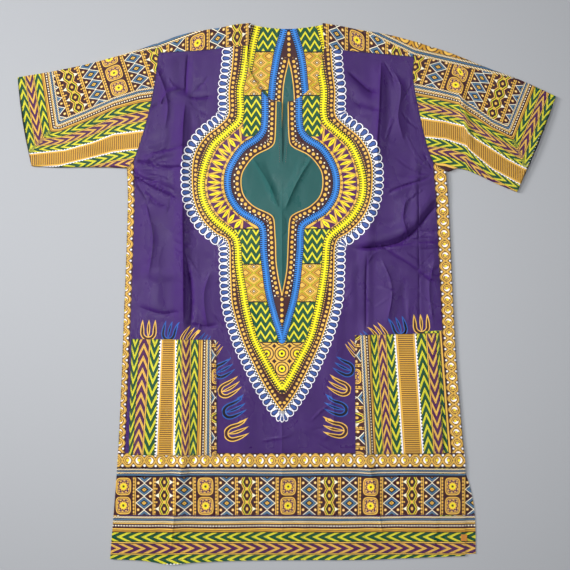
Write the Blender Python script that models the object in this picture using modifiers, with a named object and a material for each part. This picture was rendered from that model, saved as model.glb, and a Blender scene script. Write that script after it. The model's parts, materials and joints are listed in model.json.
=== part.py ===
"""Dashiki shirt laid flat on a surface, each cut and sewn piece a closed solid.

The shirt lies on its back.  +X is the viewer's right, +Y runs up to the neck and +Z
points away from the surface.  The origin is in the middle of the shirt, at the surface.
Tables and plan shapes are in millimetres, and meshes are in metres.
"""

import math
from collections import namedtuple

import bmesh
import bpy
from mathutils import Vector
from mathutils.geometry import delaunay_2d_cdt, interpolate_bezier, intersect_point_line

COLLECTION_NAME = "dashiki_shirt"
MM = 0.001

WALL = 1.2
GAP = 0.3
FOLD_EDGE_RISE = 3.0
HEM_RISE = WALL + GAP
EDGE_STEP = 15.0
EDGE_FOLD_SEGMENTS = 4

# The body lies lower than the yoke: the front's rise grows between these two heights.
RISE_FROM_Y = 130.0
RISE_TO_Y = 190.0
BODY_PUFF = 1.2
PUFF_REACH = 70.0
SLEEVE_PUFF = 1.4
SLEEVE_PUFF_REACH = 0.3
CORNER_CLEARANCE = 0.5

OPEN_GRID = 27.0
CLEAR_OF_EDGE = 8.0
FOLD_ROWS = (-1.0, -0.5, 0.5, 1.0)
FOLD_ROW_CLEARANCE = 5.0
FOLD_TAPER = 0.22

Point = namedtuple("Point", "x y")
SleeveRow = namedtuple("SleeveRow", "top_x top_y under_x under_y")
Fold = namedtuple("Fold", "path left_width right_width height")

# Outer line of each shoulder fold, from the neck out to the armhole.
SHOULDER_LEFT = (Point(-57.5, 433.8), Point(-80.0, 432.0), Point(-104.0, 427.0),
                 Point(-164.0, 416.5), Point(-206.0, 401.5))
SHOULDER_RIGHT = (Point(57.5, 433.8), Point(80.0, 430.5), Point(114.0, 423.5),
                  Point(160.0, 416.0), Point(213.0, 402.0))

# Seam of the front panel to the back's shoulder piece, from the neck out to the armhole.
SEAM_LEFT = (Point(-62.5, 396.8), Point(-88.0, 396.0), Point(-123.0, 391.0), Point(-205.3, 386.0))
SEAM_RIGHT = (Point(60.3, 393.6), Point(90.0, 390.0), Point(204.5, 379.5))

# Armhole seams below the shoulder seam, down to the underarm.
ARMHOLE_LEFT = (Point(-205.3, 386.0), Point(-209.5, 350.0), Point(-217.2, 307.0),
                Point(-229.0, 260.6), Point(-246.0, 212.0), Point(-255.6, 201.5))
ARMHOLE_RIGHT = (Point(204.5, 379.5), Point(202.0, 350.0), Point(211.0, 296.0),
                 Point(221.5, 249.5), Point(235.0, 211.0), Point(254.8, 196.6))

# Side seams, from the underarm down to the hem.
SIDE_LEFT = (Point(-255.6, 201.5), Point(-254.5, 150.0), Point(-259.8, -10.0),
             Point(-270.0, -250.0), Point(-283.0, -425.0))
SIDE_RIGHT = (Point(254.8, 196.6), Point(258.8, 150.0), Point(270.8, -93.0),
              Point(282.0, -234.0), Point(286.0, -272.0), Point(285.4, -419.5))

# The back's right edge, which swings out below the side vent.
VENT_TOP_Y = -280.0
BACK_SIDE_RIGHT = (Point(254.8, 196.6), Point(258.8, 150.0), Point(270.8, -93.0),
                   Point(282.0, -234.0), Point(285.0, VENT_TOP_Y), Point(294.5, -312.0),
                   Point(301.5, -354.0), Point(303.0, -416.5))

FRONT_HEM = (Point(-283.0, -425.0), Point(-230.0, -427.5), Point(-187.0, -433.8),
             Point(-150.0, -430.5), Point(-60.0, -427.0), Point(124.0, -425.8),
             Point(200.0, -423.0), Point(285.4, -419.5))
BACK_HEM = (Point(-281.5, -423.0), Point(0.0, -423.5), Point(220.0, -421.0), Point(303.0, -416.5))

# The front neckline, left and right of the slit.
NECK_LEFT = (Point(-62.5, 396.8), Point(-62.8, 372.0), Point(-55.5, 349.5), Point(-38.0, 322.0),
             Point(-24.0, 310.5), Point(-8.4, 307.0))
NECK_RIGHT = (Point(2.0, 307.6), Point(14.8, 311.5), Point(36.0, 327.0), Point(51.5, 352.0),
              Point(56.5, 376.0), Point(60.3, 393.6))
SLIT_END = Point(-7.0, 206.0)
BACK_NECK_DIP = 6.5

POCKET_LEFT = (Point(-253.0, -258.0), Point(-248.5, -72.0), Point(-113.0, -73.5), Point(-112.0, -258.5))
POCKET_RIGHT = (Point(110.0, -257.0), Point(109.0, -66.0), Point(244.0, -62.5), Point(251.0, -255.5))

# Sleeve edges, the upper one and the one under the arm, in even steps from armhole to cuff.
SLEEVE_LEFT_ROWS = (
    SleeveRow(-206.0, 401.5, -255.6, 201.5),
    SleeveRow(-260.0, 384.5, -290.0, 203.0),
    SleeveRow(-316.0, 369.0, -326.0, 203.3),
    SleeveRow(-373.0, 357.0, -366.0, 203.0),
    SleeveRow(-430.8, 347.0, -408.5, 204.5),
)
SLEEVE_RIGHT_ROWS = (
    SleeveRow(213.0, 402.0, 254.8, 196.6),
    SleeveRow(264.0, 385.5, 276.0, 201.5),
    SleeveRow(318.0, 363.5, 302.0, 193.0),
    SleeveRow(376.0, 342.0, 334.0, 178.0),
    SleeveRow(430.8, 316.6, 368.5, 163.0),
)
CUFF_BOW = 2.5
SLEEVE_STATIONS = 11

# Creases of the front, each along a path from its start to its end.  A positive height is
# a ridge, a negative one a trough.  The widths are to the left and right of the path.
FRONT_FOLDS = (
    Fold((Point(-156, 378), Point(-164, 313), Point(-166, 120), Point(-165, -60), Point(-165, -266),
          Point(-187, -428)), 13, 17, 3.2),
    Fold((Point(148, 378), Point(149, 300), Point(147, 206)), 15, 15, 2.6),
    Fold((Point(146, 200), Point(129, 90), Point(127, -61), Point(129, -270), Point(158, -372)),
         14, 16, 3.0),
    Fold((Point(250, 170), Point(226, 142), Point(205, 112), Point(180, 93), Point(150, 84),
          Point(104, 81)), 9, 26, 5.2),
    Fold((Point(150, 74), Point(196, 79), Point(252, 80)), 9, 9, 2.4),
    Fold((Point(158, 70), Point(205, 44), Point(252, 12)), 14, 10, 2.6),
    Fold((Point(160, 158), Point(196, 176), Point(238, 188)), 10, 12, 2.4),
    Fold((Point(209, 246), Point(206, 174), Point(211, 60), Point(213, -50)), 9, 9, 1.6),
    Fold((Point(-248, 196), Point(-214, 172), Point(-168, 150)), 20, 9, 4.6),
    Fold((Point(-236, 212), Point(-206, 221), Point(-172, 229)), 9, 9, 2.0),
    Fold((Point(-222, 212), Point(-196, 205), Point(-166, 204)), 8, 12, 2.2),
    Fold((Point(-195, 322), Point(-166, 313), Point(-128, 305)), 10, 10, 2.0),
    Fold((Point(-46, 222), Point(-30, 180), Point(-11, 138)), 8, 8, 1.4),
    Fold((Point(29, 221), Point(11, 180), Point(-9, 138)), 8, 8, 1.4),
    Fold((Point(-236, 40), Point(-205, 30), Point(-170, 32)), 14, 14, 1.8),
    Fold((Point(-240, 130), Point(-212, 40), Point(-214, -50)), 22, 22, 1.8),
    Fold((Point(96, 352), Point(120, 318), Point(142, 292)), 18, 14, 2.4),
    Fold((Point(176, 350), Point(182, 300), Point(178, 240)), 16, 20, 2.0),
    Fold((Point(60, 30), Point(74, -60), Point(70, -160)), 26, 26, 1.6),
    Fold((Point(-70, -130), Point(-66, -200), Point(-78, -290)), 22, 22, 1.4),
    Fold((Point(20, -290), Point(28, -350), Point(22, -415)), 16, 16, 1.2),
)
SLEEVE_LEFT_FOLDS = (
    Fold((Point(-236, 232), Point(-290, 240), Point(-352, 226)), 12, 12, 1.8),
    Fold((Point(-232, 300), Point(-292, 292), Point(-366, 262)), 16, 16, 1.4),
)
SLEEVE_RIGHT_FOLDS = (
    Fold((Point(278, 344), Point(283, 290), Point(297, 222)), 9, 12, 3.0),
    Fold((Point(236, 330), Point(252, 318), Point(270, 312)), 10, 12, 1.2),
    Fold((Point(312, 262), Point(344, 244), Point(384, 230)), 14, 14, 1.4),
)

TAG_X, TAG_Y = 283.6, -390.2
TAG_WIDTH, TAG_LENGTH, TAG_THICKNESS = 9.6, 10.4, 1.0
TAG_BEVEL = 0.25


def clear_scene():
    """Remove every object of the open scene."""
    for item in list(bpy.data.objects):
        bpy.data.objects.remove(item, do_unlink=True)


def cloth_material(name, colour, roughness):
    """Principled material of one piece."""
    material = bpy.data.materials.new(name)
    material.use_nodes = True
    shader = material.node_tree.nodes["Principled BSDF"]
    shader.inputs["Base Color"].default_value = (*colour, 1.0)
    shader.inputs["Roughness"].default_value = roughness
    shader.inputs["Metallic"].default_value = 0.0
    return material


def add_object(name, mesh, material, collection):
    """Object of a finished mesh, with its material, in the collection."""
    item = bpy.data.objects.new(name, mesh)
    mesh.materials.append(material)
    collection.objects.link(item)
    return item


def ease(amount):
    """Smooth step from 0 to 1."""
    held = min(max(amount, 0.0), 1.0)
    return held * held * (3.0 - 2.0 * held)


def smooth_run(points, step=EDGE_STEP):
    """Points at most a step apart on one smooth curve through the given ones."""
    anchors = [Vector(point) for point in points]
    last = len(anchors) - 1
    run = [anchors[0]]
    for index in range(last):
        start, end = anchors[index], anchors[index + 1]
        leave = anchors[min(index + 1, last)] - anchors[max(index - 1, 0)]
        arrive = anchors[min(index + 2, last)] - anchors[index]
        reach = (end - start).length
        count = max(1, math.ceil(reach / step))
        handle_out = start + leave.normalized() * reach / 3.0
        handle_in = end - arrive.normalized() * reach / 3.0
        curve = interpolate_bezier(start, handle_out, handle_in, end, count + 1)
        run.extend(point.to_2d() for point in curve[1:])
    return run


def along(run, fraction):
    """Point at a fraction of the length of a run."""
    lengths = [(after - before).length for before, after in zip(run, run[1:])]
    left = fraction * sum(lengths)
    for index, length in enumerate(lengths):
        if left <= length or index == len(lengths) - 1:
            return run[index].lerp(run[index + 1], min(left / length, 1.0))
        left -= length
    return run[-1]


def shares(run):
    """Fraction of a run's length at each of its points."""
    walked = [0.0]
    for before, after in zip(run, run[1:]):
        walked.append(walked[-1] + (after - before).length)
    return [length / walked[-1] for length in walked]


def shifted(run, distance):
    """Run moved square to itself, to its left where the distance is positive."""
    moved = []
    for index, point in enumerate(run):
        ahead = run[min(index + 1, len(run) - 1)] - run[max(index - 1, 0)]
        moved.append(point + Vector((-ahead.y, ahead.x)).normalized() * distance)
    return moved


def armhole(side, distance):
    """Armhole of one side (-1 left, 1 right) from the shoulder down, moved out a distance."""
    shoulder, seam_down = (SHOULDER_LEFT, ARMHOLE_LEFT) if side < 0 else (SHOULDER_RIGHT, ARMHOLE_RIGHT)
    return shifted([Vector(shoulder[-1])] + smooth_run(seam_down), side * distance)


def nearest_on_run(spot, run):
    """Distance, side (1 left, -1 right) and fraction of the run's nearest point."""
    best = (math.inf, 1.0, 0.0)
    for index, (before, after) in enumerate(zip(run, run[1:])):
        _, share = intersect_point_line(spot, before, after)
        share = min(max(share, 0.0), 1.0)
        foot = before.lerp(after, share)
        distance = (spot - foot).length
        if distance < best[0]:
            step = after - before
            side = 1.0 if step.x * (spot.y - foot.y) - step.y * (spot.x - foot.x) >= 0 else -1.0
            best = (distance, side, (index + share) / (len(run) - 1))
    return best


def prepared(folds):
    """Folds with their paths as smooth runs."""
    return [fold._replace(path=smooth_run(fold.path)) for fold in folds]


def fold_height(spot, folds):
    """Sum of the ridges and troughs at a spot."""
    total = 0.0
    for fold in folds:
        distance, side, fraction = nearest_on_run(spot, fold.path)
        width = fold.left_width if side > 0 else fold.right_width
        if distance < width:
            ends = ease(fraction / FOLD_TAPER) * ease((1.0 - fraction) / FOLD_TAPER)
            total += fold.height * ends * (1.0 - (distance / width) ** 2) ** 2
    return total


def side_limits(height):
    """Left and right edge of the body at a height up the shirt."""
    limits = []
    for side in (SIDE_LEFT, SIDE_RIGHT):
        rows = sorted(side, key=lambda row: row.y)
        held = min(max(height, rows[0].y), rows[-1].y)
        for low, high in zip(rows, rows[1:]):
            if low.y <= held <= high.y:
                limits.append(low.x + (high.x - low.x) * (held - low.y) / (high.y - low.y))
                break
    return limits


def front_rise(spot, folds):
    """Height of the front layer's underside at a spot."""
    left, right = side_limits(spot.y)
    from_edge = min(spot.x - left, right - spot.x)
    from_hem = spot.y - FRONT_HEM[0].y
    puff = BODY_PUFF * ease(from_edge / PUFF_REACH) * ease(from_hem / PUFF_REACH)
    body = HEM_RISE + puff
    share = ease((spot.y - RISE_FROM_Y) / (RISE_TO_Y - RISE_FROM_Y))
    level = body + (FOLD_EDGE_RISE - body) * share
    return max(level + fold_height(spot, folds), HEM_RISE)


def steepness(spot, folds):
    """Vertical thickness that gives one unit of wall square to the slope."""
    probe = 1.0
    slope_x = front_rise(spot + Vector((probe, 0)), folds) - front_rise(spot - Vector((probe, 0)), folds)
    slope_y = front_rise(spot + Vector((0, probe)), folds) - front_rise(spot - Vector((0, probe)), folds)
    return math.sqrt(1.0 + (slope_x / (2.0 * probe)) ** 2 + (slope_y / (2.0 * probe)) ** 2)


def inside(spot, outline):
    """True where a spot lies within a closed outline."""
    crossings = 0
    for before, after in zip(outline, outline[1:] + outline[:1]):
        if (before[1] > spot[1]) != (after[1] > spot[1]):
            reach = before[0] + (after[0] - before[0]) * (spot[1] - before[1]) / (after[1] - before[1])
            crossings += reach > spot[0]
    return crossings % 2 == 1


def filled(outline, inner_runs, spare_points):
    """Corners and triangles that fill an outline, with edges along the inner runs."""
    points = [Vector(point) for point in outline]
    loop = list(range(len(points)))
    edges = []
    for run in inner_runs:
        first = len(points)
        points.extend(Vector(point) for point in run)
        edges.extend((index, index + 1) for index in range(first, len(points) - 1))
    points.extend(Vector(point) for point in spare_points)
    corners, _, faces, _, _, _ = delaunay_2d_cdt(points, edges, [loop], 1, 0.01)
    return corners, faces


def open_points(outline, folds, kept_runs):
    """Spots inside an outline: rows beside each fold, then an open staggered grid."""
    spots = []
    edge = outline + outline[:1]
    placed = [point for run in kept_runs for point in run]

    def clear(spot, clearance):
        near = any((spot - other).length < clearance for other in placed)
        return not near and inside(spot, outline) and nearest_on_run(spot, edge)[0] > CLEAR_OF_EDGE

    for fold in folds:
        for index in range(len(fold.path) - 1):
            here, after = fold.path[index], fold.path[index + 1]
            across = Vector((here.y - after.y, after.x - here.x)).normalized()
            middle = (here + after) / 2.0
            for row in FOLD_ROWS:
                width = fold.left_width if row > 0 else fold.right_width
                spot = middle + across * row * width
                if clear(spot, FOLD_ROW_CLEARANCE):
                    spots.append(spot)
                    placed.append(spot)
    xs = [point[0] for point in outline]
    ys = [point[1] for point in outline]
    rows = int((max(ys) - min(ys)) / OPEN_GRID)
    columns = int((max(xs) - min(xs)) / OPEN_GRID)
    for row in range(rows + 1):
        for column in range(columns + 1):
            stagger = 0.5 * (row % 2)
            spot = Vector((min(xs) + (column + stagger) * OPEN_GRID, min(ys) + row * OPEN_GRID))
            if clear(spot, 0.55 * OPEN_GRID):
                spots.append(spot)
                placed.append(spot)
    return spots


def layered_mesh(name, corners, faces, bottom, top):
    """Closed sheet between two heights given for each corner."""
    shape = bmesh.new()
    lift = shape.verts.layers.float.new("lift")
    below = []
    for (x, y), low, high in zip(corners, bottom, top):
        vert = shape.verts.new((x * MM, y * MM, low * MM))
        vert[lift] = high * MM
        below.append(vert)
    flat = [shape.faces.new([below[index] for index in face]) for face in faces]
    bmesh.ops.delete(shape, geom=[vert for vert in below if not vert.link_faces], context="VERTS")
    raised = bmesh.ops.extrude_face_region(shape, geom=flat)
    for item in raised["geom"]:
        if isinstance(item, bmesh.types.BMVert):
            item.co.z = item[lift]
    bmesh.ops.recalc_face_normals(shape, faces=shape.faces[:])
    shape.verts.layers.float.remove(lift)
    mesh = bpy.data.meshes.new(name)
    shape.to_mesh(mesh)
    shape.free()
    return mesh


def front_outline():
    """Edge of the front panel, counter-clockwise, a little inside its seams."""
    inset = GAP / 2.0
    seam_left = [point - Vector((0.0, inset)) for point in smooth_run(SEAM_LEFT)]
    seam_right = [point - Vector((0.0, inset)) for point in smooth_run(SEAM_RIGHT)]
    hole_left = armhole(-1.0, -inset)[1:]
    hole_right = armhole(1.0, -inset)[1:]
    for hole in (hole_left, hole_right):
        hole[0] = hole[0] - Vector((0.0, inset))
    runs = (
        seam_left[:-1],
        hole_left,
        smooth_run(SIDE_LEFT)[1:],
        smooth_run(FRONT_HEM)[1:],
        smooth_run(SIDE_RIGHT)[-2:0:-1],
        hole_right[::-1],
        seam_right[-2::-1],
        smooth_run(NECK_RIGHT)[-2::-1],
        [Vector(SLIT_END)],
        smooth_run(NECK_LEFT)[:0:-1],
    )
    return [point for run in runs for point in run]


def build_front(material, collection):
    """Front panel with its creases, and the surface that the pockets follow."""
    folds = prepared(FRONT_FOLDS)
    outline = front_outline()
    pockets = [closed_run(pocket) for pocket in (POCKET_LEFT, POCKET_RIGHT)]
    edges = [outline + outline[:1]] + pockets
    crests = [[point for point in fold.path if inside(point, outline)
               and all(nearest_on_run(point, edge)[0] > CLEAR_OF_EDGE / 2.0 for edge in edges)]
              for fold in folds]
    spots = open_points(outline, folds, crests + pockets)
    corners, faces = filled(outline, crests + pockets, spots)
    bottom = [front_rise(corner, folds) for corner in corners]
    stretch = [steepness(corner, folds) for corner in corners]
    top = [low + WALL * factor for low, factor in zip(bottom, stretch)]
    add_object("front_panel", layered_mesh("front_panel", corners, faces, bottom, top), material, collection)
    return corners, faces, bottom, stretch


def closed_run(corners):
    """Straight-sided closed run of points through four corners."""
    run = []
    ring = list(corners) + [corners[0]]
    for start, end in zip(ring, ring[1:]):
        start, end = Vector(start), Vector(end)
        count = math.ceil((end - start).length / (2.0 * EDGE_STEP))
        run.extend(start.lerp(end, index / count) for index in range(count))
    return run + [run[0].copy()]


def build_pocket(name, pocket, front_surface, material, collection):
    """Patch pocket, cut from the front's own surface and moved out."""
    corners, faces, bottom, stretch = front_surface
    outline = [Vector(corner) for corner in pocket]
    chosen = [face for face in faces
              if inside(sum((corners[index] for index in face), Vector((0, 0))) / len(face), outline)]
    used = sorted({index for face in chosen for index in face})
    order = {index: place for place, index in enumerate(used)}
    low = [bottom[index] + (WALL + GAP) * stretch[index] for index in used]
    high = [bottom[index] + (2.0 * WALL + GAP) * stretch[index] for index in used]
    patch = [[order[index] for index in face] for face in chosen]
    mesh = layered_mesh(name, [corners[index] for index in used], patch, low, high)
    add_object(name, mesh, material, collection)


def curl(edge, outward, low, high):
    """Points of a half-round fold from a low layer to a high one, at one edge point."""
    radius = (high - low) / 2.0
    centre = edge - outward * (radius + WALL / 2.0)
    points = []
    for index in range(1, EDGE_FOLD_SEGMENTS):
        turn = math.pi * index / EDGE_FOLD_SEGMENTS
        plan = centre + outward * radius * math.sin(turn)
        points.append(Vector((plan.x, plan.y, (low + high) / 2.0 - radius * math.cos(turn))))
    return centre, points


def walled(item):
    """Give an open surface the wall's thickness, half on each side."""
    wall = item.modifiers.new("wall", "SOLIDIFY")
    wall.thickness = WALL * MM
    wall.offset = 0.0
    wall.use_even_offset = False
    wall.use_rim = True


def metre_mesh(name, shape):
    """Mesh in metres of a shape made in millimetres."""
    bmesh.ops.scale(shape, vec=(MM, MM, MM), verts=shape.verts[:])
    mesh = bpy.data.meshes.new(name)
    shape.to_mesh(mesh)
    shape.free()
    return mesh


def build_back(material, collection):
    """Back panel lying flat, its shoulder pieces folded over to the front."""
    half = GAP / 2.0
    layer, over = WALL / 2.0, FOLD_EDGE_RISE + WALL / 2.0
    shoulders = []
    for shoulder, seam, side in ((SHOULDER_LEFT, SEAM_LEFT, -1.0), (SHOULDER_RIGHT, SEAM_RIGHT, 1.0)):
        outer = smooth_run(shoulder)
        seam_run = smooth_run(seam)
        count = len(seam_run)
        rows = []
        for index, foot in enumerate(seam_run):
            edge = along(outer, index / (count - 1))
            outward = Vector((0.0, 1.0)).lerp((edge - foot).normalized(), index / (count - 1)).normalized()
            if index == count - 1:
                edge, foot = armhole(side, -half)[:2]
            centre, arc = curl(edge, outward, layer, over)
            end = foot + Vector((0.0, half))
            flat = [centre.lerp(end, step / 2.0) for step in range(3)]
            rows.append((centre, arc, [Vector((spot.x, spot.y, over)) for spot in flat]))
        shoulders.append(rows)
    left, right = shoulders
    hole_left = armhole(-1.0, -half)[1:]
    hole_right = armhole(1.0, -half)[1:]
    neck_start, neck_end = right[0][0], left[0][0]
    neck = [neck_start.lerp(neck_end, index / 8.0) - Vector((0.0, BACK_NECK_DIP * math.sin(math.pi * index / 8.0)))
            for index in range(1, 8)]
    runs = (
        [row[0] for row in left],
        hole_left,
        smooth_run(SIDE_LEFT)[1:-1],
        smooth_run(BACK_HEM, 2.0 * EDGE_STEP),
        smooth_run(BACK_SIDE_RIGHT)[-2:0:-1],
        hole_right[::-1],
        [row[0] for row in reversed(right)],
        neck,
    )
    outline = [point for run in runs for point in run]
    corners, faces = filled(outline, [], back_grid(outline))
    shape = bmesh.new()
    verts = [shape.verts.new((corner.x, corner.y, layer)) for corner in corners]
    for face in faces:
        shape.faces.new([verts[index] for index in reversed(face)])
    for rows in shoulders:
        strips = []
        for centre, arc, flat in rows:
            root = min(verts, key=lambda vert: (vert.co.to_2d() - centre).length)
            strips.append([root] + [shape.verts.new(point) for point in arc + flat])
        for before, after in zip(strips, strips[1:]):
            for index in range(len(before) - 1):
                shape.faces.new((before[index], after[index], after[index + 1], before[index + 1]))
    bmesh.ops.recalc_face_normals(shape, faces=shape.faces[:])
    walled(add_object("back_panel", metre_mesh("back_panel", shape), material, collection))


def back_grid(outline):
    """Sparse spots that keep the flat back's triangles compact."""
    return [Vector((x, y)) for x in range(-240, 260, 60) for y in range(-400, 400, 60)
            if inside((x, y), outline)
            and nearest_on_run(Vector((x, y)), outline + outline[:1])[0] > CLEAR_OF_EDGE]


def sleeve_section(share, hole, rows):
    """Plan points of one section across a sleeve, from its top edge to under the arm."""
    top = smooth_run([Point(row.top_x, row.top_y) for row in rows])
    under = smooth_run([Point(row.under_x, row.under_y) for row in rows])
    cuff_top, cuff_under = top[-1], under[-1]
    cuff_out = Vector((cuff_top.y - cuff_under.y, cuff_under.x - cuff_top.x)).normalized()
    if cuff_out.x * cuff_top.x < 0:
        cuff_out.negate()

    def at(fraction):
        start = along(hole, fraction)
        bow = cuff_out * CUFF_BOW * math.sin(math.pi * fraction)
        cuff = cuff_top.lerp(cuff_under, fraction) + bow
        ruled = start.lerp(cuff, share)
        lift_top = (along(top, share) - hole[0].lerp(cuff_top, share)) * ease(share * 8.0)
        lift_under = (along(under, share) - hole[-1].lerp(cuff_under, share)) * ease(share * 8.0)
        return ruled + lift_top * (1.0 - fraction) + lift_under * fraction

    return at


def build_sleeve(name, rows, folds, side, material, collection):
    """Short sleeve as a flattened tube, open at the armhole and the cuff."""
    folds = prepared(folds)
    hole = armhole(side, GAP / 2.0)
    for end in (0, -1):
        hole[end] = hole[end] + Vector((side * CORNER_CLEARANCE, 0.0))
    fractions = shares(hole)
    low, high = WALL / 2.0, FOLD_EDGE_RISE + WALL / 2.0
    shape = bmesh.new()
    rings = []
    for station in range(SLEEVE_STATIONS):
        share = station / (SLEEVE_STATIONS - 1)
        at = sleeve_section(share, hole, rows)
        length = sum((at(after) - at(before)).length for before, after in zip(fractions, fractions[1:]))
        inset = ((high - low) / 2.0 + low) / length
        _, under_arc = curl(at(1.0), (at(1.0) - at(1.0 - inset)).normalized(), low, high)
        _, top_arc = curl(at(0.0), (at(0.0) - at(inset)).normalized(), low, high)
        held = [min(max(fraction, inset), 1.0 - inset) for fraction in fractions]
        ring = []
        for fraction in held:
            spot = at(fraction)
            ring.append(Vector((spot.x, spot.y, low)))
        ring.extend(under_arc)
        for fraction in reversed(held):
            spot = at(fraction)
            puff = SLEEVE_PUFF * math.sin(math.pi * fraction) * ease(share / SLEEVE_PUFF_REACH)
            ring.append(Vector((spot.x, spot.y, high + puff + fold_height(spot, folds))))
        ring.extend(reversed(top_arc))
        rings.append([shape.verts.new(point) for point in ring])
    for before, after in zip(rings, rings[1:]):
        for index in range(len(before)):
            following = (index + 1) % len(before)
            shape.faces.new((before[index], before[following], after[following], after[index]))
    bmesh.ops.recalc_face_normals(shape, faces=shape.faces[:])
    walled(add_object(name, metre_mesh(name, shape), material, collection))


def build_tag(material, collection):
    """Small folded tag, sewn on at the side vent."""
    low = HEM_RISE + WALL + GAP
    shape = bmesh.new()
    bmesh.ops.create_cube(shape, size=1.0)
    bmesh.ops.scale(shape, vec=(TAG_WIDTH, TAG_LENGTH, TAG_THICKNESS), verts=shape.verts[:])
    bmesh.ops.translate(shape, vec=(TAG_X, TAG_Y, low + TAG_THICKNESS / 2.0), verts=shape.verts[:])
    item = add_object("hem_tag", metre_mesh("hem_tag", shape), material, collection)
    bevel = item.modifiers.new("soft_edges", "BEVEL")
    bevel.width = TAG_BEVEL * MM
    bevel.segments = 1


def main():
    """Build every piece of the shirt."""
    clear_scene()
    collection = bpy.data.collections.new(COLLECTION_NAME)
    bpy.context.scene.collection.children.link(collection)
    body = cloth_material("body_cloth", (0.075, 0.025, 0.17), 0.45)
    border = cloth_material("border_cloth", (0.42, 0.26, 0.05), 0.5)
    front_surface = build_front(body, collection)
    build_back(cloth_material("back_cloth", (0.075, 0.025, 0.17), 0.45), collection)
    build_sleeve("sleeve_left", SLEEVE_LEFT_ROWS, SLEEVE_LEFT_FOLDS, -1.0, border, collection)
    build_sleeve("sleeve_right", SLEEVE_RIGHT_ROWS, SLEEVE_RIGHT_FOLDS, 1.0, border, collection)
    pocket = cloth_material("pocket_cloth", (0.35, 0.28, 0.05), 0.5)
    build_pocket("pocket_left", POCKET_LEFT, front_surface, pocket, collection)
    build_pocket("pocket_right", POCKET_RIGHT, front_surface, pocket, collection)
    build_tag(cloth_material("tag_cloth", (0.6, 0.2, 0.02), 0.6), collection)


main()
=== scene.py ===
"""Looks of a dashiki shirt that lies flat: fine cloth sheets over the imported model.

Lengths in the tables are in millimetres and meshes are in metres. The shirt lies on its
back, +X to the viewer's right, +Y up to the neck and +Z out of the surface it lies on.
"""

import json
import math
from collections import namedtuple

import bmesh
import bpy
import numpy
from bpy.props import FloatProperty, FloatVectorProperty, IntProperty, PointerProperty
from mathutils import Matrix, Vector
from mathutils.bvhtree import BVHTree
from mathutils.geometry import delaunay_2d_cdt, interpolate_bezier

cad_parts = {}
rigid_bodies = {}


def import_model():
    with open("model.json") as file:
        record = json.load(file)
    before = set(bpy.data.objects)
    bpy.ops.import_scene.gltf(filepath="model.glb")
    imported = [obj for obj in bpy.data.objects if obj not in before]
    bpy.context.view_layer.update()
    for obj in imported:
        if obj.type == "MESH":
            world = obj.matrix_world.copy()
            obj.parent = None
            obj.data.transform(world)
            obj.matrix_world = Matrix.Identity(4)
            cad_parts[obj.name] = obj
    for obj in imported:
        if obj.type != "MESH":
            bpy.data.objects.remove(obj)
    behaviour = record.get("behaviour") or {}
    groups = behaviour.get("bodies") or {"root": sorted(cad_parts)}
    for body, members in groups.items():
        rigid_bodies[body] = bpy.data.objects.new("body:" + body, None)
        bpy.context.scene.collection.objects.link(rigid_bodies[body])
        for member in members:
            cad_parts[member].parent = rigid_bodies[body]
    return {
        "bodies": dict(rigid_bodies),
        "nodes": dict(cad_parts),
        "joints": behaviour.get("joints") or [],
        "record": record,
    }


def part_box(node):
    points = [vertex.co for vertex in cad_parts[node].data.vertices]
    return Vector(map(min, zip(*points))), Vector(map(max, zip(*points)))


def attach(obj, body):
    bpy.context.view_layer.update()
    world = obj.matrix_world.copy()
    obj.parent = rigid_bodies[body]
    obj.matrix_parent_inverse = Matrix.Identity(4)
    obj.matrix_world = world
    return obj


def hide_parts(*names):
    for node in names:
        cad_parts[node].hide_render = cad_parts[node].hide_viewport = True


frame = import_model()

bl_info = {
    "name": "Dashiki Shirt Laid Flat",
    "version": (1, 0, 0),
    "blender": (4, 5, 0),
    "location": "View3D > Sidebar > Dashiki",
    "description": "Cloth pieces and printed cotton of a dashiki shirt that lies flat",
    "category": "Object",
}

BODY = "root"
MM = 0.001

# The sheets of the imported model, which these sizes repeat.
WALL = 1.2
GAP = 0.3
FOLD_EDGE_RISE = 3.0
HEM_RISE = WALL + GAP
EDGE_STEP = 15.0
RISE_FROM_Y = 130.0
RISE_TO_Y = 190.0
BODY_PUFF = 1.2
PUFF_REACH = 70.0
SLEEVE_PUFF = 1.4
SLEEVE_PUFF_REACH = 0.3
CORNER_CLEARANCE = 0.5
FOLD_TAPER = 0.22
CUFF_BOW = 2.5

Point = namedtuple("Point", "x y")
SleeveRow = namedtuple("SleeveRow", "top_x top_y under_x under_y")
Fold = namedtuple("Fold", "path left_width right_width height")
WrinkleFan = namedtuple("WrinkleFan", "x y from_angle to_angle reach count")

SHOULDER_LEFT = (Point(-57.5, 433.8), Point(-80.0, 432.0), Point(-104.0, 427.0),
                 Point(-164.0, 416.5), Point(-206.0, 401.5))
SHOULDER_RIGHT = (Point(57.5, 433.8), Point(80.0, 430.5), Point(114.0, 423.5),
                  Point(160.0, 416.0), Point(213.0, 402.0))
SEAM_LEFT = (Point(-62.5, 396.8), Point(-88.0, 396.0), Point(-123.0, 391.0), Point(-205.3, 386.0))
SEAM_RIGHT = (Point(60.3, 393.6), Point(90.0, 390.0), Point(204.5, 379.5))
ARMHOLE_LEFT = (Point(-205.3, 386.0), Point(-209.5, 350.0), Point(-217.2, 307.0),
                Point(-229.0, 260.6), Point(-246.0, 212.0), Point(-255.6, 201.5))
ARMHOLE_RIGHT = (Point(204.5, 379.5), Point(202.0, 350.0), Point(211.0, 296.0),
                 Point(221.5, 249.5), Point(235.0, 211.0), Point(254.8, 196.6))
SIDE_LEFT = (Point(-255.6, 201.5), Point(-254.5, 150.0), Point(-259.8, -10.0),
             Point(-270.0, -250.0), Point(-283.0, -425.0))
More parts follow.
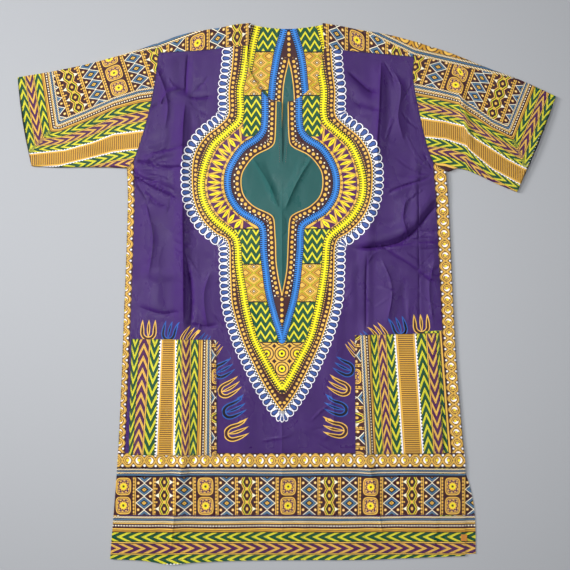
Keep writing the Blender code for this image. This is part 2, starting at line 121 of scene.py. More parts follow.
SIDE_RIGHT = (Point(254.8, 196.6), Point(258.8, 150.0), Point(270.8, -93.0),
              Point(282.0, -234.0), Point(286.0, -272.0), Point(285.4, -419.5))
BACK_SIDE_RIGHT = (Point(254.8, 196.6), Point(258.8, 150.0), Point(270.8, -93.0),
                   Point(282.0, -234.0), Point(285.0, -280.0), Point(294.5, -312.0),
                   Point(301.5, -354.0), Point(303.0, -416.5))
FRONT_HEM = (Point(-283.0, -425.0), Point(-230.0, -427.5), Point(-187.0, -433.8),
             Point(-150.0, -430.5), Point(-60.0, -427.0), Point(124.0, -425.8),
             Point(200.0, -423.0), Point(285.4, -419.5))
BACK_HEM = (Point(-281.5, -423.0), Point(0.0, -423.5), Point(220.0, -421.0), Point(303.0, -416.5))
NECK_LEFT = (Point(-62.5, 396.8), Point(-62.8, 372.0), Point(-55.5, 349.5), Point(-38.0, 322.0),
             Point(-24.0, 310.5), Point(-8.4, 307.0))
NECK_RIGHT = (Point(2.0, 307.6), Point(14.8, 311.5), Point(36.0, 327.0), Point(51.5, 352.0),
              Point(56.5, 376.0), Point(60.3, 393.6))
SLIT_END = Point(-7.0, 206.0)
BACK_NECK_DIP = 6.5
POCKET_LEFT = (Point(-253.0, -258.0), Point(-248.5, -72.0), Point(-113.0, -73.5), Point(-112.0, -258.5))
POCKET_RIGHT = (Point(110.0, -257.0), Point(109.0, -66.0), Point(244.0, -62.5), Point(251.0, -255.5))
SLEEVE_LEFT_ROWS = (
    SleeveRow(-206.0, 401.5, -255.6, 201.5),
    SleeveRow(-260.0, 384.5, -290.0, 203.0),
    SleeveRow(-316.0, 369.0, -326.0, 203.3),
    SleeveRow(-373.0, 357.0, -366.0, 203.0),
    SleeveRow(-430.8, 347.0, -408.5, 204.5),
)
SLEEVE_RIGHT_ROWS = (
    SleeveRow(213.0, 402.0, 254.8, 196.6),
    SleeveRow(264.0, 385.5, 276.0, 201.5),
    SleeveRow(318.0, 363.5, 302.0, 193.0),
    SleeveRow(376.0, 342.0, 334.0, 178.0),
    SleeveRow(430.8, 316.6, 368.5, 163.0),
)

# Main creases of the front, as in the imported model.
FRONT_FOLDS = (
    Fold((Point(-156, 378), Point(-164, 313), Point(-166, 120), Point(-165, -60), Point(-165, -266),
          Point(-187, -428)), 13, 17, 3.2),
    Fold((Point(148, 378), Point(149, 300), Point(147, 206)), 15, 15, 2.6),
    Fold((Point(146, 200), Point(129, 90), Point(127, -61), Point(129, -270), Point(158, -372)),
         14, 16, 3.0),
    Fold((Point(250, 170), Point(226, 142), Point(205, 112), Point(180, 93), Point(150, 84),
          Point(104, 81)), 9, 26, 5.2),
    Fold((Point(150, 74), Point(196, 79), Point(252, 80)), 9, 9, 2.4),
    Fold((Point(158, 70), Point(205, 44), Point(252, 12)), 14, 10, 2.6),
    Fold((Point(160, 158), Point(196, 176), Point(238, 188)), 10, 12, 2.4),
    Fold((Point(209, 246), Point(206, 174), Point(211, 60), Point(213, -50)), 9, 9, 1.6),
    Fold((Point(-248, 196), Point(-214, 172), Point(-168, 150)), 20, 9, 4.6),
    Fold((Point(-236, 212), Point(-206, 221), Point(-172, 229)), 9, 9, 2.0),
    Fold((Point(-222, 212), Point(-196, 205), Point(-166, 204)), 8, 12, 2.2),
    Fold((Point(-195, 322), Point(-166, 313), Point(-128, 305)), 10, 10, 2.0),
    Fold((Point(-46, 222), Point(-30, 180), Point(-11, 138)), 8, 8, 1.4),
    Fold((Point(29, 221), Point(11, 180), Point(-9, 138)), 8, 8, 1.4),
    Fold((Point(-236, 40), Point(-205, 30), Point(-170, 32)), 14, 14, 1.8),
    Fold((Point(-240, 130), Point(-212, 40), Point(-214, -50)), 22, 22, 1.8),
    Fold((Point(96, 352), Point(120, 318), Point(142, 292)), 18, 14, 2.4),
    Fold((Point(176, 350), Point(182, 300), Point(178, 240)), 16, 20, 2.0),
    Fold((Point(60, 30), Point(74, -60), Point(70, -160)), 26, 26, 1.6),
    Fold((Point(-70, -130), Point(-66, -200), Point(-78, -290)), 22, 22, 1.4),
    Fold((Point(20, -290), Point(28, -350), Point(22, -415)), 16, 16, 1.2),
)
SLEEVE_LEFT_FOLDS = (
    Fold((Point(-236, 232), Point(-290, 240), Point(-352, 226)), 12, 12, 1.8),
    Fold((Point(-232, 300), Point(-292, 292), Point(-366, 262)), 16, 16, 1.4),
)
SLEEVE_RIGHT_FOLDS = (
    Fold((Point(278, 344), Point(283, 290), Point(297, 222)), 9, 12, 3.0),
    Fold((Point(236, 330), Point(252, 318), Point(270, 312)), 10, 12, 1.2),
    Fold((Point(312, 262), Point(344, 244), Point(384, 230)), 14, 14, 1.4),
)

# Finer creases of the printed cotton, which only the cloth sheets have.
FINE_CREASES = (
    Fold((Point(-150, 300), Point(-140, 250), Point(-150, 214)), 7, 9, 0.9),
    Fold((Point(-196, 290), Point(-186, 250), Point(-192, 226)), 8, 6, -0.8),
    Fold((Point(-232, 236), Point(-206, 240), Point(-184, 250)), 5, 5, 0.7),
    Fold((Point(-244, 186), Point(-222, 158), Point(-202, 146)), 6, 10, -1.3),
    Fold((Point(-160, 206), Point(-136, 196), Point(-122, 206)), 6, 6, 0.8),
    Fold((Point(-186, 30), Point(-150, 36), Point(-118, 28)), 7, 7, 0.8),
    Fold((Point(-158, -8), Point(-134, -40), Point(-130, -96)), 9, 12, -1.0),
    Fold((Point(-104, -96), Point(-92, -150), Point(-100, -206)), 12, 12, 0.8),
    Fold((Point(-20, -228), Point(26, -216), Point(86, -236)), 14, 10, 0.9),
    Fold((Point(-8, 136), Point(-7, 80), Point(-9, 10)), 6, 6, 0.7),
    Fold((Point(118, 292), Point(140, 250), Point(138, 210)), 9, 12, 1.0),
    Fold((Point(150, 250), Point(172, 236), Point(200, 238)), 7, 9, 0.9),
    Fold((Point(168, 200), Point(196, 190), Point(232, 206)), 6, 8, -0.8),
    Fold((Point(134, 130), Point(158, 122), Point(186, 126)), 6, 9, 0.8),
    Fold((Point(146, 20), Point(166, -10), Point(160, -52)), 12, 9, 1.0),
    Fold((Point(190, 30), Point(186, -10), Point(196, -48)), 8, 8, -0.9),
    Fold((Point(112, 60), Point(104, 10), Point(116, -44)), 9, 12, 0.9),
    Fold((Point(232, 130), Point(236, 60), Point(244, -40)), 7, 7, 0.8),
    Fold((Point(-236, 0), Point(-226, -30), Point(-232, -60)), 9, 7, 0.8),
    Fold((Point(-246, -300), Point(-180, -306), Point(-110, -298)), 6, 8, 0.6),
    Fold((Point(40, -312), Point(120, -302), Point(200, -316)), 7, 7, 0.6),
    Fold((Point(-222, -356), Point(-214, -392), Point(-222, -424)), 8, 8, 0.7),
    Fold((Point(230, -330), Point(238, -372), Point(230, -412)), 8, 8, 0.8),
    Fold((Point(96, 100), Point(84, 60), Point(90, 10)), 10, 8, -0.7),
    Fold((Point(-90, 60), Point(-84, 10), Point(-92, -40)), 9, 9, 0.7),
)

# Creases pressed in while the shirt lay folded, sharp along their middle line.
PRESSED_CREASES = (
    Fold((Point(-158, 386), Point(-161, 350), Point(-162, 318)), 12, 30, -2.6),
    Fold((Point(-162, 312), Point(-166, 250), Point(-166, 170)), 30, 34, 2.0),
    Fold((Point(-166, 168), Point(-166, 120), Point(-165, 30), Point(-165, -66)), 34, 30, 2.4),
    Fold((Point(-160, 60), Point(-152, 0), Point(-154, -62)), 8, 30, -2.2),
    Fold((Point(152, 380), Point(149, 340), Point(147, 290), Point(144, 236), Point(147, 190)), 34, 40, 2.4),
    Fold((Point(128, 66), Point(127, 0), Point(127, -66)), 30, 24, -2.2),
    Fold((Point(211, 196), Point(211, 120), Point(212, 30), Point(213, -64)), 22, 14, -1.2),
    Fold((Point(160, 158), Point(174, 168), Point(204, 178), Point(238, 190)), 9, 14, -1.6),
    Fold((Point(252, 150), Point(232, 132), Point(205, 100), Point(180, 82), Point(140, 74), Point(98, 74)),
         7, 20, -3.0),
    Fold((Point(150, 76), Point(172, 62), Point(204, 40), Point(240, 12)), 8, 16, -1.7),
    Fold((Point(152, 78), Point(186, 80), Point(226, 84), Point(256, 82)), 7, 10, -1.4),
    Fold((Point(206, 104), Point(222, 100), Point(256, 104)), 7, 9, -1.0),
    Fold((Point(-250, 190), Point(-232, 180), Point(-206, 166), Point(-172, 150)), 9, 14, -2.6),
    Fold((Point(-244, 214), Point(-220, 208), Point(-206, 200)), 7, 9, -1.4),
    Fold((Point(-214, 214), Point(-204, 205), Point(-186, 202), Point(-160, 204)), 6, 10, -1.7),
    Fold((Point(-216, 226), Point(-190, 232), Point(-150, 240)), 8, 10, -0.8),
    Fold((Point(-204, 300), Point(-190, 322), Point(-166, 328)), 16, 10, 1.5),
    Fold((Point(-158, 316), Point(-140, 314), Point(-118, 316)), 7, 8, -1.0),
    Fold((Point(-182, 86), Point(-172, 80), Point(-152, 76)), 7, 7, -0.9),
    Fold((Point(-162, -46), Point(-136, -52), Point(-108, -50)), 12, 10, -1.4),
    Fold((Point(96, 358), Point(116, 340), Point(132, 326), Point(146, 320)), 8, 20, -2.2),
    Fold((Point(108, 306), Point(128, 298), Point(146, 292)), 12, 8, -1.2),
    Fold((Point(-250, 206), Point(-240, 192), Point(-222, 182), Point(-204, 180)), 6, 8, -1.8),
    Fold((Point(-214, 372), Point(-196, 330), Point(-190, 296), Point(-196, 262)), 10, 18, 1.5),
    Fold((Point(168, 362), Point(182, 330), Point(178, 280), Point(190, 236)), 14, 20, 1.3),
    Fold((Point(238, 60), Point(228, 10), Point(236, -56)), 12, 16, 1.2),
    Fold((Point(-120, 40), Point(-132, 0), Point(-126, -60)), 12, 16, 1.2),
    Fold((Point(-240, -20), Point(-200, -32), Point(-170, -28)), 9, 12, -1.1),
    Fold((Point(60, -238), Point(76, -200), Point(70, -150)), 14, 18, 1.0),
    Fold((Point(-8, 196), Point(-7, 120), Point(-8, 20), Point(-7, -120)), 26, 26, 0.9),
    Fold((Point(-7, -150), Point(-8, -230), Point(-7, -330), Point(-8, -420)), 26, 26, 0.9),
    Fold((Point(-60, 226), Point(-30, 178), Point(-9, 128)), 9, 9, 1.3),
    Fold((Point(44, 224), Point(16, 178), Point(-6, 128)), 9, 9, 1.3),
    Fold((Point(150, 60), Point(168, 10), Point(160, -50)), 20, 26, 1.5),
    Fold((Point(192, 158), Point(186, 120), Point(196, 86)), 14, 24, 1.6),
    Fold((Point(-226, 150), Point(-214, 90), Point(-222, 20)), 24, 30, 1.4),
    Fold((Point(-165, -262), Point(-178, -340), Point(-187, -426)), 20, 24, 1.4),
    Fold((Point(129, -262), Point(142, -320), Point(156, -400)), 20, 22, 1.3),
)

# How many times as high as in the table the pressed creases are built.
PRESSED_DEPTH = 1.45

# Width of the turned hem, how far inside its edge the stitches run, and the pockets' lift off the front.
HEM_TURN = 9.0
STITCH_INSET = 1.6
POCKET_LIFT = 0.75

# Thickness of the tag's tape, in metres.
TAPE_THICKNESS = 0.00035

# Where hairline wrinkles start, with the range of their directions in degrees, reach and count.
WRINKLE_FANS = (
    WrinkleFan(-250, 192, -70, 40, 96, 9),
    WrinkleFan(-160, 314, -160, 150, 62, 7),
    WrinkleFan(-196, 90, -100, 80, 90, 6),
    WrinkleFan(-134, -10, -110, 90, 80, 5),
    WrinkleFan(246, 186, 130, 250, 110, 9),
    WrinkleFan(176, 78, -30, 60, 84, 7),
    WrinkleFan(196, 20, -130, 60, 90, 7),
    WrinkleFan(176, 300, -150, 100, 80, 6),
    WrinkleFan(110, 20, -120, 60, 70, 4),
    WrinkleFan(-8, 150, -120, -60, 60, 4),
    WrinkleFan(20, -222, -40, 200, 90, 6),
    WrinkleFan(-180, -300, -130, 60, 80, 5),
    WrinkleFan(140, -320, -130, 60, 80, 5),
)

# Points of the row of flames behind each pocket, one for each step from flame to flame.
FLAMES_LEFT = ((-238.0, -72.2), (-205.2, -72.2), (-175.6, -75.4), (-153.2, -85.0), (-134.0, -96.2),
               (-119.6, -110.6), (-111.6, -142.6), (-103.6, -173.0), (-98.8, -206.6), (-96.4, -241.8))
FLAMES_RIGHT = ((233.2, -62.6), (198.8, -63.4), (168.4, -69.0), (145.2, -80.2), (125.2, -93.0),
                (110.0, -107.4), (102.8, -139.4), (97.2, -169.8), (94.8, -201.8), (95.6, -235.4))
FLAME_HEIGHTS = (31.0, 31.0, 31.0, 32.0, 32.0, 32.0, 36.0, 38.0, 38.0, 38.0)
FLAME_LEANS = (-0.02, -0.06, -0.20, -0.24, 0.0, 0.20, 0.30, 0.32, 0.30, 0.28)

# The print. Each medallion line is (height up the shirt, distance from its axis).
AXIS_X = -7.6
INSIDE_AXIS_X = 3.0
INSIDE_TURN_Y = 374.7
RIM_LINE = ((430, 74), (400, 77), (360, 80), (326, 84.5), (286, 85.4), (270, 99), (250, 123),
            (221, 140), (185, 144), (149, 140), (120, 127), (99, 106), (86, 87), (45, 83), (-10, 80),
            (-40, 73), (-75, 62), (-106, 48), (-140, 31), (-168, 14), (-187, 0))
YELLOW_LINE = ((430, 50), (400, 56), (380, 58.2), (350, 62.5), (326, 67), (280, 68), (261, 86),
               (235, 112), (185, 129), (150, 126), (122, 110), (98, 82), (86, 73), (45, 69),
               (-5, 61), (-36, 55), (-71, 45), (-106, 27.5), (-137, 10.6), (-152, 0))
BLUE_LINE = ((360, 26), (319, 27.5), (267, 28.5), (251, 37.6), (232, 64), (204, 82), (181, 87),
             (157, 83), (134, 68), (120, 47), (108, 32), (68, 29), (-2.5, 20), (-74.5, 0))
GREEN_LINE = ((360, 8.6), (307, 9.4), (244, 11.5), (235, 17.6), (221, 43.5), (199, 61),
              (181, 65.4), (158, 61), (140, 44.6), (128, 20), (121, 13), (94, 10.6), (43, 8.2),
              (-2.6, 0))
MEDALLION_REACH = 26.0
LOOP_PITCH = 10.2

# Lines of the print that each sleeve's border follows, from the cuff side to the armhole:
# the frame's lower edge, and the upper and lower edge of the gold ladder.
FRAME_LEFT = ((-420, 268), (-364, 268), (-324, 284), (-277, 305), (-235.6, 318.3), (-215, 321.4), (-195, 324))
LADDER_TOP_LEFT = ((-430, 222), (-410, 225), (-354, 231), (-309.7, 243), (-277, 256.2), (-231.3, 262.2),
                   (-195, 267))
LADDER_FOOT_LEFT = ((-430, 199), (-404, 203), (-366, 204.6), (-324, 214.8), (-277, 226.6), (-241.5, 231),
                    (-195, 235))
FRAME_RIGHT = ((195, 331), (203.8, 327.5), (233, 321.4), (264.4, 313.7), (275, 311), (279.5, 303.4),
               (302.6, 289.5), (328.6, 271.3), (354.7, 259), (420, 222))
LADDER_TOP_RIGHT = ((205, 285), (211.6, 283.4), (250.6, 277.4), (283.6, 269.5), (289, 257.4), (320, 238.3),
                    (354.6, 215.8), (383.3, 201), (420, 180))
LADDER_FOOT_RIGHT = ((205, 251), (221, 250.5), (254, 247), (286.6, 236.6), (292, 229.7), (328.7, 199.3),
                     (372, 175.8), (420, 150))
CUFF_ROPE_LEFT, CUFF_ROPE_RIGHT = 50.0, 51.0

# Line of the rope that runs over each shoulder.
SHOULDER_ROPE_LEFT = ((-340, 366), (-206, 393.8), (-136, 420), (-60, 448))
SHOULDER_ROPE_RIGHT = ((60, 448), (125.2, 420.6), (205.2, 382.2), (300, 360), (430, 330))

# Columns of the pockets' print: (place across at the top, at the foot, distance on the border).
COLUMNS_LEFT = ((-259.6, -262.0, 151.0), (-247.6, -257.8, 146.0), (-234.8, -245.5, 129.0),
                (-217.8, -230.0, 113.0), (-203.9, -213.0, 97.0), (-200.0, -208.0, 95.0),
                (-177.8, -182.0, 67.5), (-175.0, -178.0, 66.0), (-167.5, -167.6, 50.0),
                (-153.0, -155.7, 31.0), (-141.2, -144.4, 15.0), (-137.2, -141.0, 11.6),
                (-133.0, -136.0, 7.5), (-128.0, -131.0, 0.0), (-121.0, -121.0, -10.8),
                (-113.0, -113.0, -22.0))
COLUMNS_RIGHT = ((109.0, 112.0, -22.0), (117.2, 126.8, -10.8), (124.0, 134.4, 0.0), (131.8, 142.3, 11.6),
                 (133.5, 143.0, 15.0), (145.2, 154.8, 31.5), (158.2, 168.4, 50.0), (171.0, 184.0, 66.0),
                 (175.3, 188.2, 68.5), (204.7, 216.9, 94.5), (208.2, 221.0, 97.0), (222.9, 235.6, 113.0),
                 (237.7, 250.0, 129.0), (251.2, 266.2, 146.0), (256.0, 268.6, 151.0))
HEM_TOP_Y = -254.6
BACK_PRINT_Y = -180.0


def linear(red, green, blue):
    """Linear colour of three numbers from 0 to 255."""
    shares = []
    for value in (red, green, blue):
        share = value / 255.0
        shares.append(share / 12.92 if share <= 0.04045 else ((share + 0.055) / 1.055) ** 2.4)
    return tuple(shares)


def colour_property(name, description, tone):
    """Colour setting with its default as three numbers from 0 to 255."""
    return FloatVectorProperty(name=name, description=description, default=linear(*tone),
                               size=3, min=0.0, max=1.0, subtype="COLOR")


class DashikiSizes(bpy.types.PropertyGroup):
    """Sizes of the cloth and its sewing."""

    cloth_step: FloatProperty(
        name="Cloth Step", description="Distance between neighbouring points of the front's sheet",
        default=0.0036, min=0.002, max=0.02, unit="LENGTH")
    back_step: FloatProperty(
        name="Back Step", description="Distance between neighbouring points of the back's sheet",
        default=0.0048, min=0.002, max=0.02, unit="LENGTH")
    cloth_thickness: FloatProperty(
        name="Cloth Thickness", description="Thickness of one sheet of printed cotton",
        default=0.0006, min=0.0002, max=0.0012, unit="LENGTH")
    crumple: FloatProperty(
        name="Crumple", description="Height of the small uneven waves in the cotton",
        default=0.00055, min=0.0, max=0.002, unit="LENGTH")
    stitch_pitch: FloatProperty(
        name="Stitch Pitch", description="Distance from one stitch to the next",
        default=0.0034, min=0.001, max=0.01, unit="LENGTH")
    stitch_length: FloatProperty(
        name="Stitch Length", description="Length of one stitch on the surface",
        default=0.0024, min=0.001, max=0.01, unit="LENGTH")
    wave_seed: IntProperty(
        name="Wave Seed", description="Number that picks the small waves of the cotton",
        default=7, min=0)


class DashikiColours(bpy.types.PropertyGroup):
    """Inks of the print, thread and floor."""

    purple: colour_property("Purple", "Ground of the printed cotton", (57, 24, 95))
    dark: colour_property("Dark", "Darkest ink, of outlines and ticks", (20, 12, 24))
    brown: colour_property("Brown", "Ink behind the gold dots", (64, 28, 34))
    gold: colour_property("Gold", "Gold ink of lines and dots", (240, 190, 84))
    ochre: colour_property("Ochre", "Darker gold of ladders and panels", (206, 152, 48))
    yellow: colour_property("Yellow", "Bright yellow ink", (252, 236, 30))
    lime: colour_property("Lime", "Yellow green ink of the chevrons", (228, 222, 50))
    leaf: colour_property("Leaf Green", "Green ink of the chevrons", (22, 84, 56))
    disc: colour_property("Disc Green", "Blue green of the plain middle", (33, 88, 86))
    blue: colour_property("Blue", "Bright blue ink", (54, 132, 216))
    drop: colour_property("Drop Blue", "Blue of the drops around the medallion", (58, 88, 156))
    flame: colour_property("Flame Blue", "Blue of the flames behind the pockets", (38, 92, 176))
    cream: colour_property("Cream", "Pale ink of ropes and dots", (250, 242, 216))
    white: colour_property("White", "White of the loops and dots", (252, 250, 255))
    teal: colour_property("Teal", "Grey blue ink of the lozenges", (76, 114, 148))
    plum: colour_property("Plum", "Purple ink of the chevrons", (84, 34, 88))
    thread: colour_property("Thread", "Sewing thread", (128, 96, 92))
    tag: colour_property("Tag", "Woven tape of the hem tag", (204, 134, 58))
    floor: colour_property("Floor", "Plain floor under the shirt", (178, 180, 184))


def ease(amount):
    """Smooth step from 0 to 1."""
    held = numpy.clip(amount, 0.0, 1.0)
    return held * held * (3.0 - 2.0 * held)


def smooth_run(points, step=EDGE_STEP):
    """Points at most a step apart on one smooth curve through the given ones."""
    anchors = [Vector(point) for point in points]
    last = len(anchors) - 1
    run = [anchors[0]]
    for index in range(last):
        start, end = anchors[index], anchors[index + 1]
        leave = anchors[min(index + 1, last)] - anchors[max(index - 1, 0)]
        arrive = anchors[min(index + 2, last)] - anchors[index]
        reach = (end - start).length
        count = max(1, math.ceil(reach / step))
        handle_out = start + leave.normalized() * reach / 3.0
        handle_in = end - arrive.normalized() * reach / 3.0
        bent = interpolate_bezier(start, handle_out, handle_in, end, count + 1)
        run.extend(point.to_2d() for point in bent[1:])
    return numpy.array([tuple(point) for point in run])


def walked(run):
    """Length of a run up to each of its points."""
    return numpy.concatenate(([0.0], numpy.cumsum(numpy.hypot(*numpy.diff(run, axis=0).T))))


def along(run, shares):
    """Points at shares of the length of a run."""
    lengths = walked(run)
    wanted = numpy.asarray(shares) * lengths[-1]
    return numpy.stack([numpy.interp(wanted, lengths, places) for places in run.T], -1)


def shifted(run, distance):
    """Run moved square to itself, to its left where the distance is positive."""
    ahead = numpy.vstack((run[1] - run[0], run[2:] - run[:-2], run[-1] - run[-2]))
    square = numpy.stack((-ahead[:, 1], ahead[:, 0]), -1)
    return run + square / numpy.hypot(*square.T)[:, None] * distance


def armhole(side, distance, step=EDGE_STEP):
    """Armhole of one side (-1 left, 1 right) from the shoulder down, moved out a distance."""
    shoulder, seam_down = (SHOULDER_LEFT, ARMHOLE_LEFT) if side < 0 else (SHOULDER_RIGHT, ARMHOLE_RIGHT)
    run = numpy.vstack(([shoulder[-1]], smooth_run(seam_down, step)))
    return shifted(run, side * distance)


def nearest_on_run(spots, run):
    """Distance, side (1 left, -1 right), share of points and length at each spot's nearest point."""
    best = numpy.full(len(spots), numpy.inf)
    side = numpy.ones(len(spots))
    share = numpy.zeros(len(spots))
    length = numpy.zeros(len(spots))
    lengths = walked(run)
    for index in range(len(run) - 1):
        step = run[index + 1] - run[index]
        from_start = spots - run[index]
        held = numpy.clip(from_start @ step / (step @ step), 0.0, 1.0)
        away = from_start - held[:, None] * step
        distance = numpy.hypot(away[:, 0], away[:, 1])
        near = distance < best
        best[near] = distance[near]
        turn = step[0] * away[near, 1] - step[1] * away[near, 0]
        side[near] = numpy.where(turn >= 0.0, 1.0, -1.0)
        share[near] = (index + held[near]) / (len(run) - 1)
        length[near] = lengths[index] + held[near] * (lengths[index + 1] - lengths[index])
    return best, side, share, length


def fold_height(spots, folds, sharp=False):
    """Sum of the ridges and troughs at each spot, round or sharp on their middle lines."""
    total = numpy.zeros(len(spots))
    for fold in folds:
        run = smooth_run(fold.path)
        reach = max(fold.left_width, fold.right_width)
        low, high = run.min(0) - reach, run.max(0) + reach
        close = numpy.flatnonzero(((spots > low) & (spots < high)).all(1))
        if not len(close):
            continue
        distance, side, share, _ = nearest_on_run(spots[close], run)
        width = numpy.where(side > 0, fold.left_width, fold.right_width)
        ends = ease(share / FOLD_TAPER) * ease((1.0 - share) / FOLD_TAPER)
        reach = distance / width
        crest = numpy.clip(1.0 - (reach if sharp else reach ** 2), 0.0, 1.0) ** 2
        total[close] += fold.height * ends * crest
    return total


def hairlines(seed):
    """Thin wrinkles that fan out from their starting places, uneven in reach, bend and depth."""
    chance = numpy.random.default_rng(seed + 3)
    lines = []
    for fan in WRINKLE_FANS:
        for angle in numpy.linspace(fan.from_angle, fan.to_angle, fan.count):
            way = math.radians(angle + chance.uniform(-13.0, 13.0))
            outward = Vector((math.cos(way), math.sin(way)))
            start = Vector((fan.x, fan.y)) + outward * chance.uniform(4.0, 0.4 * fan.reach)
            reach = fan.reach * chance.uniform(0.3, 0.8)
            bend = way + chance.uniform(-0.5, 0.5)
            middle = start + outward * reach * 0.5
            end = middle + Vector((math.cos(bend), math.sin(bend))) * reach * 0.5
            path = tuple(Point(*spot) for spot in (start, middle, end))
            lines.append(Fold(path, 6.0, 6.0, chance.uniform(0.5, 1.5) * chance.choice((-1.0, 1.0, 1.0))))
    return lines


def crease_print(spots, folds):
    """Places on the creases: distance from the nearest one and its depth there."""
    nearest = numpy.full(len(spots), 30.0)
    depth = numpy.zeros(len(spots))
    for fold in folds:
        run = smooth_run(fold.path)
        close = numpy.flatnonzero(((spots > run.min(0) - 14.0) & (spots < run.max(0) + 14.0)).all(1))
        if not len(close):
            continue
        distance, _, share, _ = nearest_on_run(spots[close], run)
        ends = ease(share / FOLD_TAPER) * ease((1.0 - share) / FOLD_TAPER)
        nearer = distance < nearest[close]
        chosen = close[nearer]
        nearest[chosen] = distance[nearer]
        depth[chosen] = (ends * fold.height)[nearer]
    return numpy.stack((nearest, depth, numpy.zeros(len(spots))), -1)


def side_limits(heights):
    """Left and right edge of the body at heights up the shirt."""
    limits = []
    for side in (SIDE_LEFT, SIDE_RIGHT):
        rows = sorted(side, key=lambda row: row.y)
        limits.append(numpy.interp(heights, [row.y for row in rows], [row.x for row in rows]))
    return limits


def front_rise(spots):
    """Height of the front layer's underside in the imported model."""
    left, right = side_limits(spots[:, 1])
    from_edge = numpy.minimum(spots[:, 0] - left, right - spots[:, 0])
    from_hem = spots[:, 1] - FRONT_HEM[0].y
    puff = BODY_PUFF * ease(from_edge / PUFF_REACH) * ease(from_hem / PUFF_REACH)
    body = HEM_RISE + puff
    level = body + (FOLD_EDGE_RISE - body) * ease((spots[:, 1] - RISE_FROM_Y) / (RISE_TO_Y - RISE_FROM_Y))
    return numpy.maximum(level + fold_height(spots, FRONT_FOLDS), HEM_RISE)


def waves(spots, seed, lengths=(46.0, 21.0, 9.5), stretch=1.0):
    """Small uneven waves between -1 and 1, smooth between the knots of seeded grids."""
    total = numpy.zeros(len(spots))
    for level, length in enumerate(lengths):
        knots = numpy.random.default_rng(seed + level).uniform(-1.0, 1.0, (131, 131))
        grid = (spots * (1.0, 1.0 / stretch) + 1000.0) / length
        cell = numpy.floor(grid).astype(int)
        across, up = ease(grid - cell).T
        column, row = cell[:, 0] % 130, cell[:, 1] % 130
        low = knots[row, column] * (1.0 - across) + knots[row, column + 1] * across
        high = knots[row + 1, column] * (1.0 - across) + knots[row + 1, column + 1] * across
        total += (low * (1.0 - up) + high * up) * 0.55 ** level
    return total / 1.6


def inside(spots, outline):
    """True for each spot that lies within a closed outline."""
    crossings = numpy.zeros(len(spots), dtype=int)
    x, y = spots.T
    for before, after in zip(outline, numpy.roll(outline, -1, axis=0)):
        if before[1] == after[1]:
            continue
        crosses = (before[1] > y) != (after[1] > y)
        reach = before[0] + (after[0] - before[0]) * (y - before[1]) / (after[1] - before[1])
        crossings += crosses & (reach > x)
    return crossings % 2 == 1


def lattice(outline, step, kept):
    """Staggered spots inside an outline, clear of its edge and of the kept points."""
    low, high = outline.min(0), outline.max(0)
    spots = []
    for row, y in enumerate(numpy.arange(low[1], high[1], step * 0.866)):
        xs = numpy.arange(low[0] + 0.5 * step * (row % 2), high[0], step)
        spots.append(numpy.stack((xs, numpy.full(len(xs), y)), -1))
    spots = numpy.vstack(spots)
    spots = spots[inside(spots, outline)]
    for run in [numpy.vstack((outline, outline[:1]))] + kept:
        reach = step * 0.62
        close = ((spots > run.min(0) - reach) & (spots < run.max(0) + reach)).all(1)
        clear = numpy.ones(len(spots), dtype=bool)
        clear[close] = nearest_on_run(spots[close], run)[0] > reach
        spots = spots[clear]
    return spots


def filled(outline, kept, spots):
    """Corners and triangles that fill an outline, with edges along the kept runs."""
    points = [Vector(point) for point in outline]
    loop = list(range(len(points)))
    edges = []
    for run in kept:
        first = len(points)
        points.extend(Vector(point) for point in run)
        edges.extend((index, index + 1) for index in range(first, len(points) - 1))
    points.extend(Vector(point) for point in spots)
    corners, _, faces, _, _, _ = delaunay_2d_cdt(points, edges, [loop], 1, 0.01)
    return numpy.array([tuple(corner) for corner in corners]), faces


def printed(spots, axis_x=AXIS_X, turn_y=None):
    """Places on the print, as attributes: the medallion's distances and walked lengths."""
    spots = spots + wobble(spots)
    across = spots[:, 0] - axis_x
    up = spots[:, 1] if turn_y is None else turn_y - spots[:, 1]
    folded = numpy.stack((numpy.abs(across), up), -1)
    distances, lengths = [], []
    for line in (RIM_LINE, YELLOW_LINE, BLUE_LINE, GREEN_LINE):
        run = smooth_run([Point(width, height) for height, width in line], 4.0)
        distance, side, share, length = nearest_on_run(folded, run)
        if line is RIM_LINE:
            length = length - walked(run)[-1] + LOOP_PITCH * 0.5
            ahead = run[-1] - run[-2]
            cone = math.atan2(-ahead[1], -ahead[0])
            swing = numpy.arctan2(folded[:, 0], run[-1][1] - folded[:, 1])
            beyond = (share > 0.9999) & (folded[:, 1] < run[-1][1])
            fan = numpy.clip(1.0 - swing / (math.pi / 2.0 - cone + 1e-6), 0.0, 1.0) * LOOP_PITCH * 1.5
            length = numpy.where(beyond, length + fan, length)
        distances.append(distance * side)
        lengths.append(length)
    return {
        "place": numpy.stack((across, up, numpy.zeros(len(spots))), -1),
        "outer_lines": numpy.stack((distances[0], distances[1], lengths[0]), -1),
        "inner_lines": numpy.stack((distances[2], distances[3], lengths[1]), -1),
        "walked_lines": numpy.stack((lengths[2], lengths[3], numpy.zeros(len(spots))), -1),
    }


def wobble(spots):
    """Small uneven shift of the print, as the screens and the creased cotton give it."""
    return numpy.stack((waves(spots, 21, (60.0, 24.0)), waves(spots, 31, (60.0, 24.0))), -1) * 0.9


def side_print(spots):
    """Places on the front's side strips: distance from the beads' middle, length, border column."""
    left, right = side_limits(spots[:, 1])
    from_left, from_right = spots[:, 0] - left - 1.0, right - spots[:, 0] - 9.8
    middle = numpy.where(spots[:, 0] < 0.0, from_left, from_right)
    fall = (-62.0 - spots[:, 1]) / 193.0
    column = spots[:, 0] - (244.8 + fall * 15.4)
    column = numpy.where((spots[:, 0] > 0.0) & (fall > -0.02), column, -90.0)
    return numpy.stack((middle, spots[:, 1], column), -1)


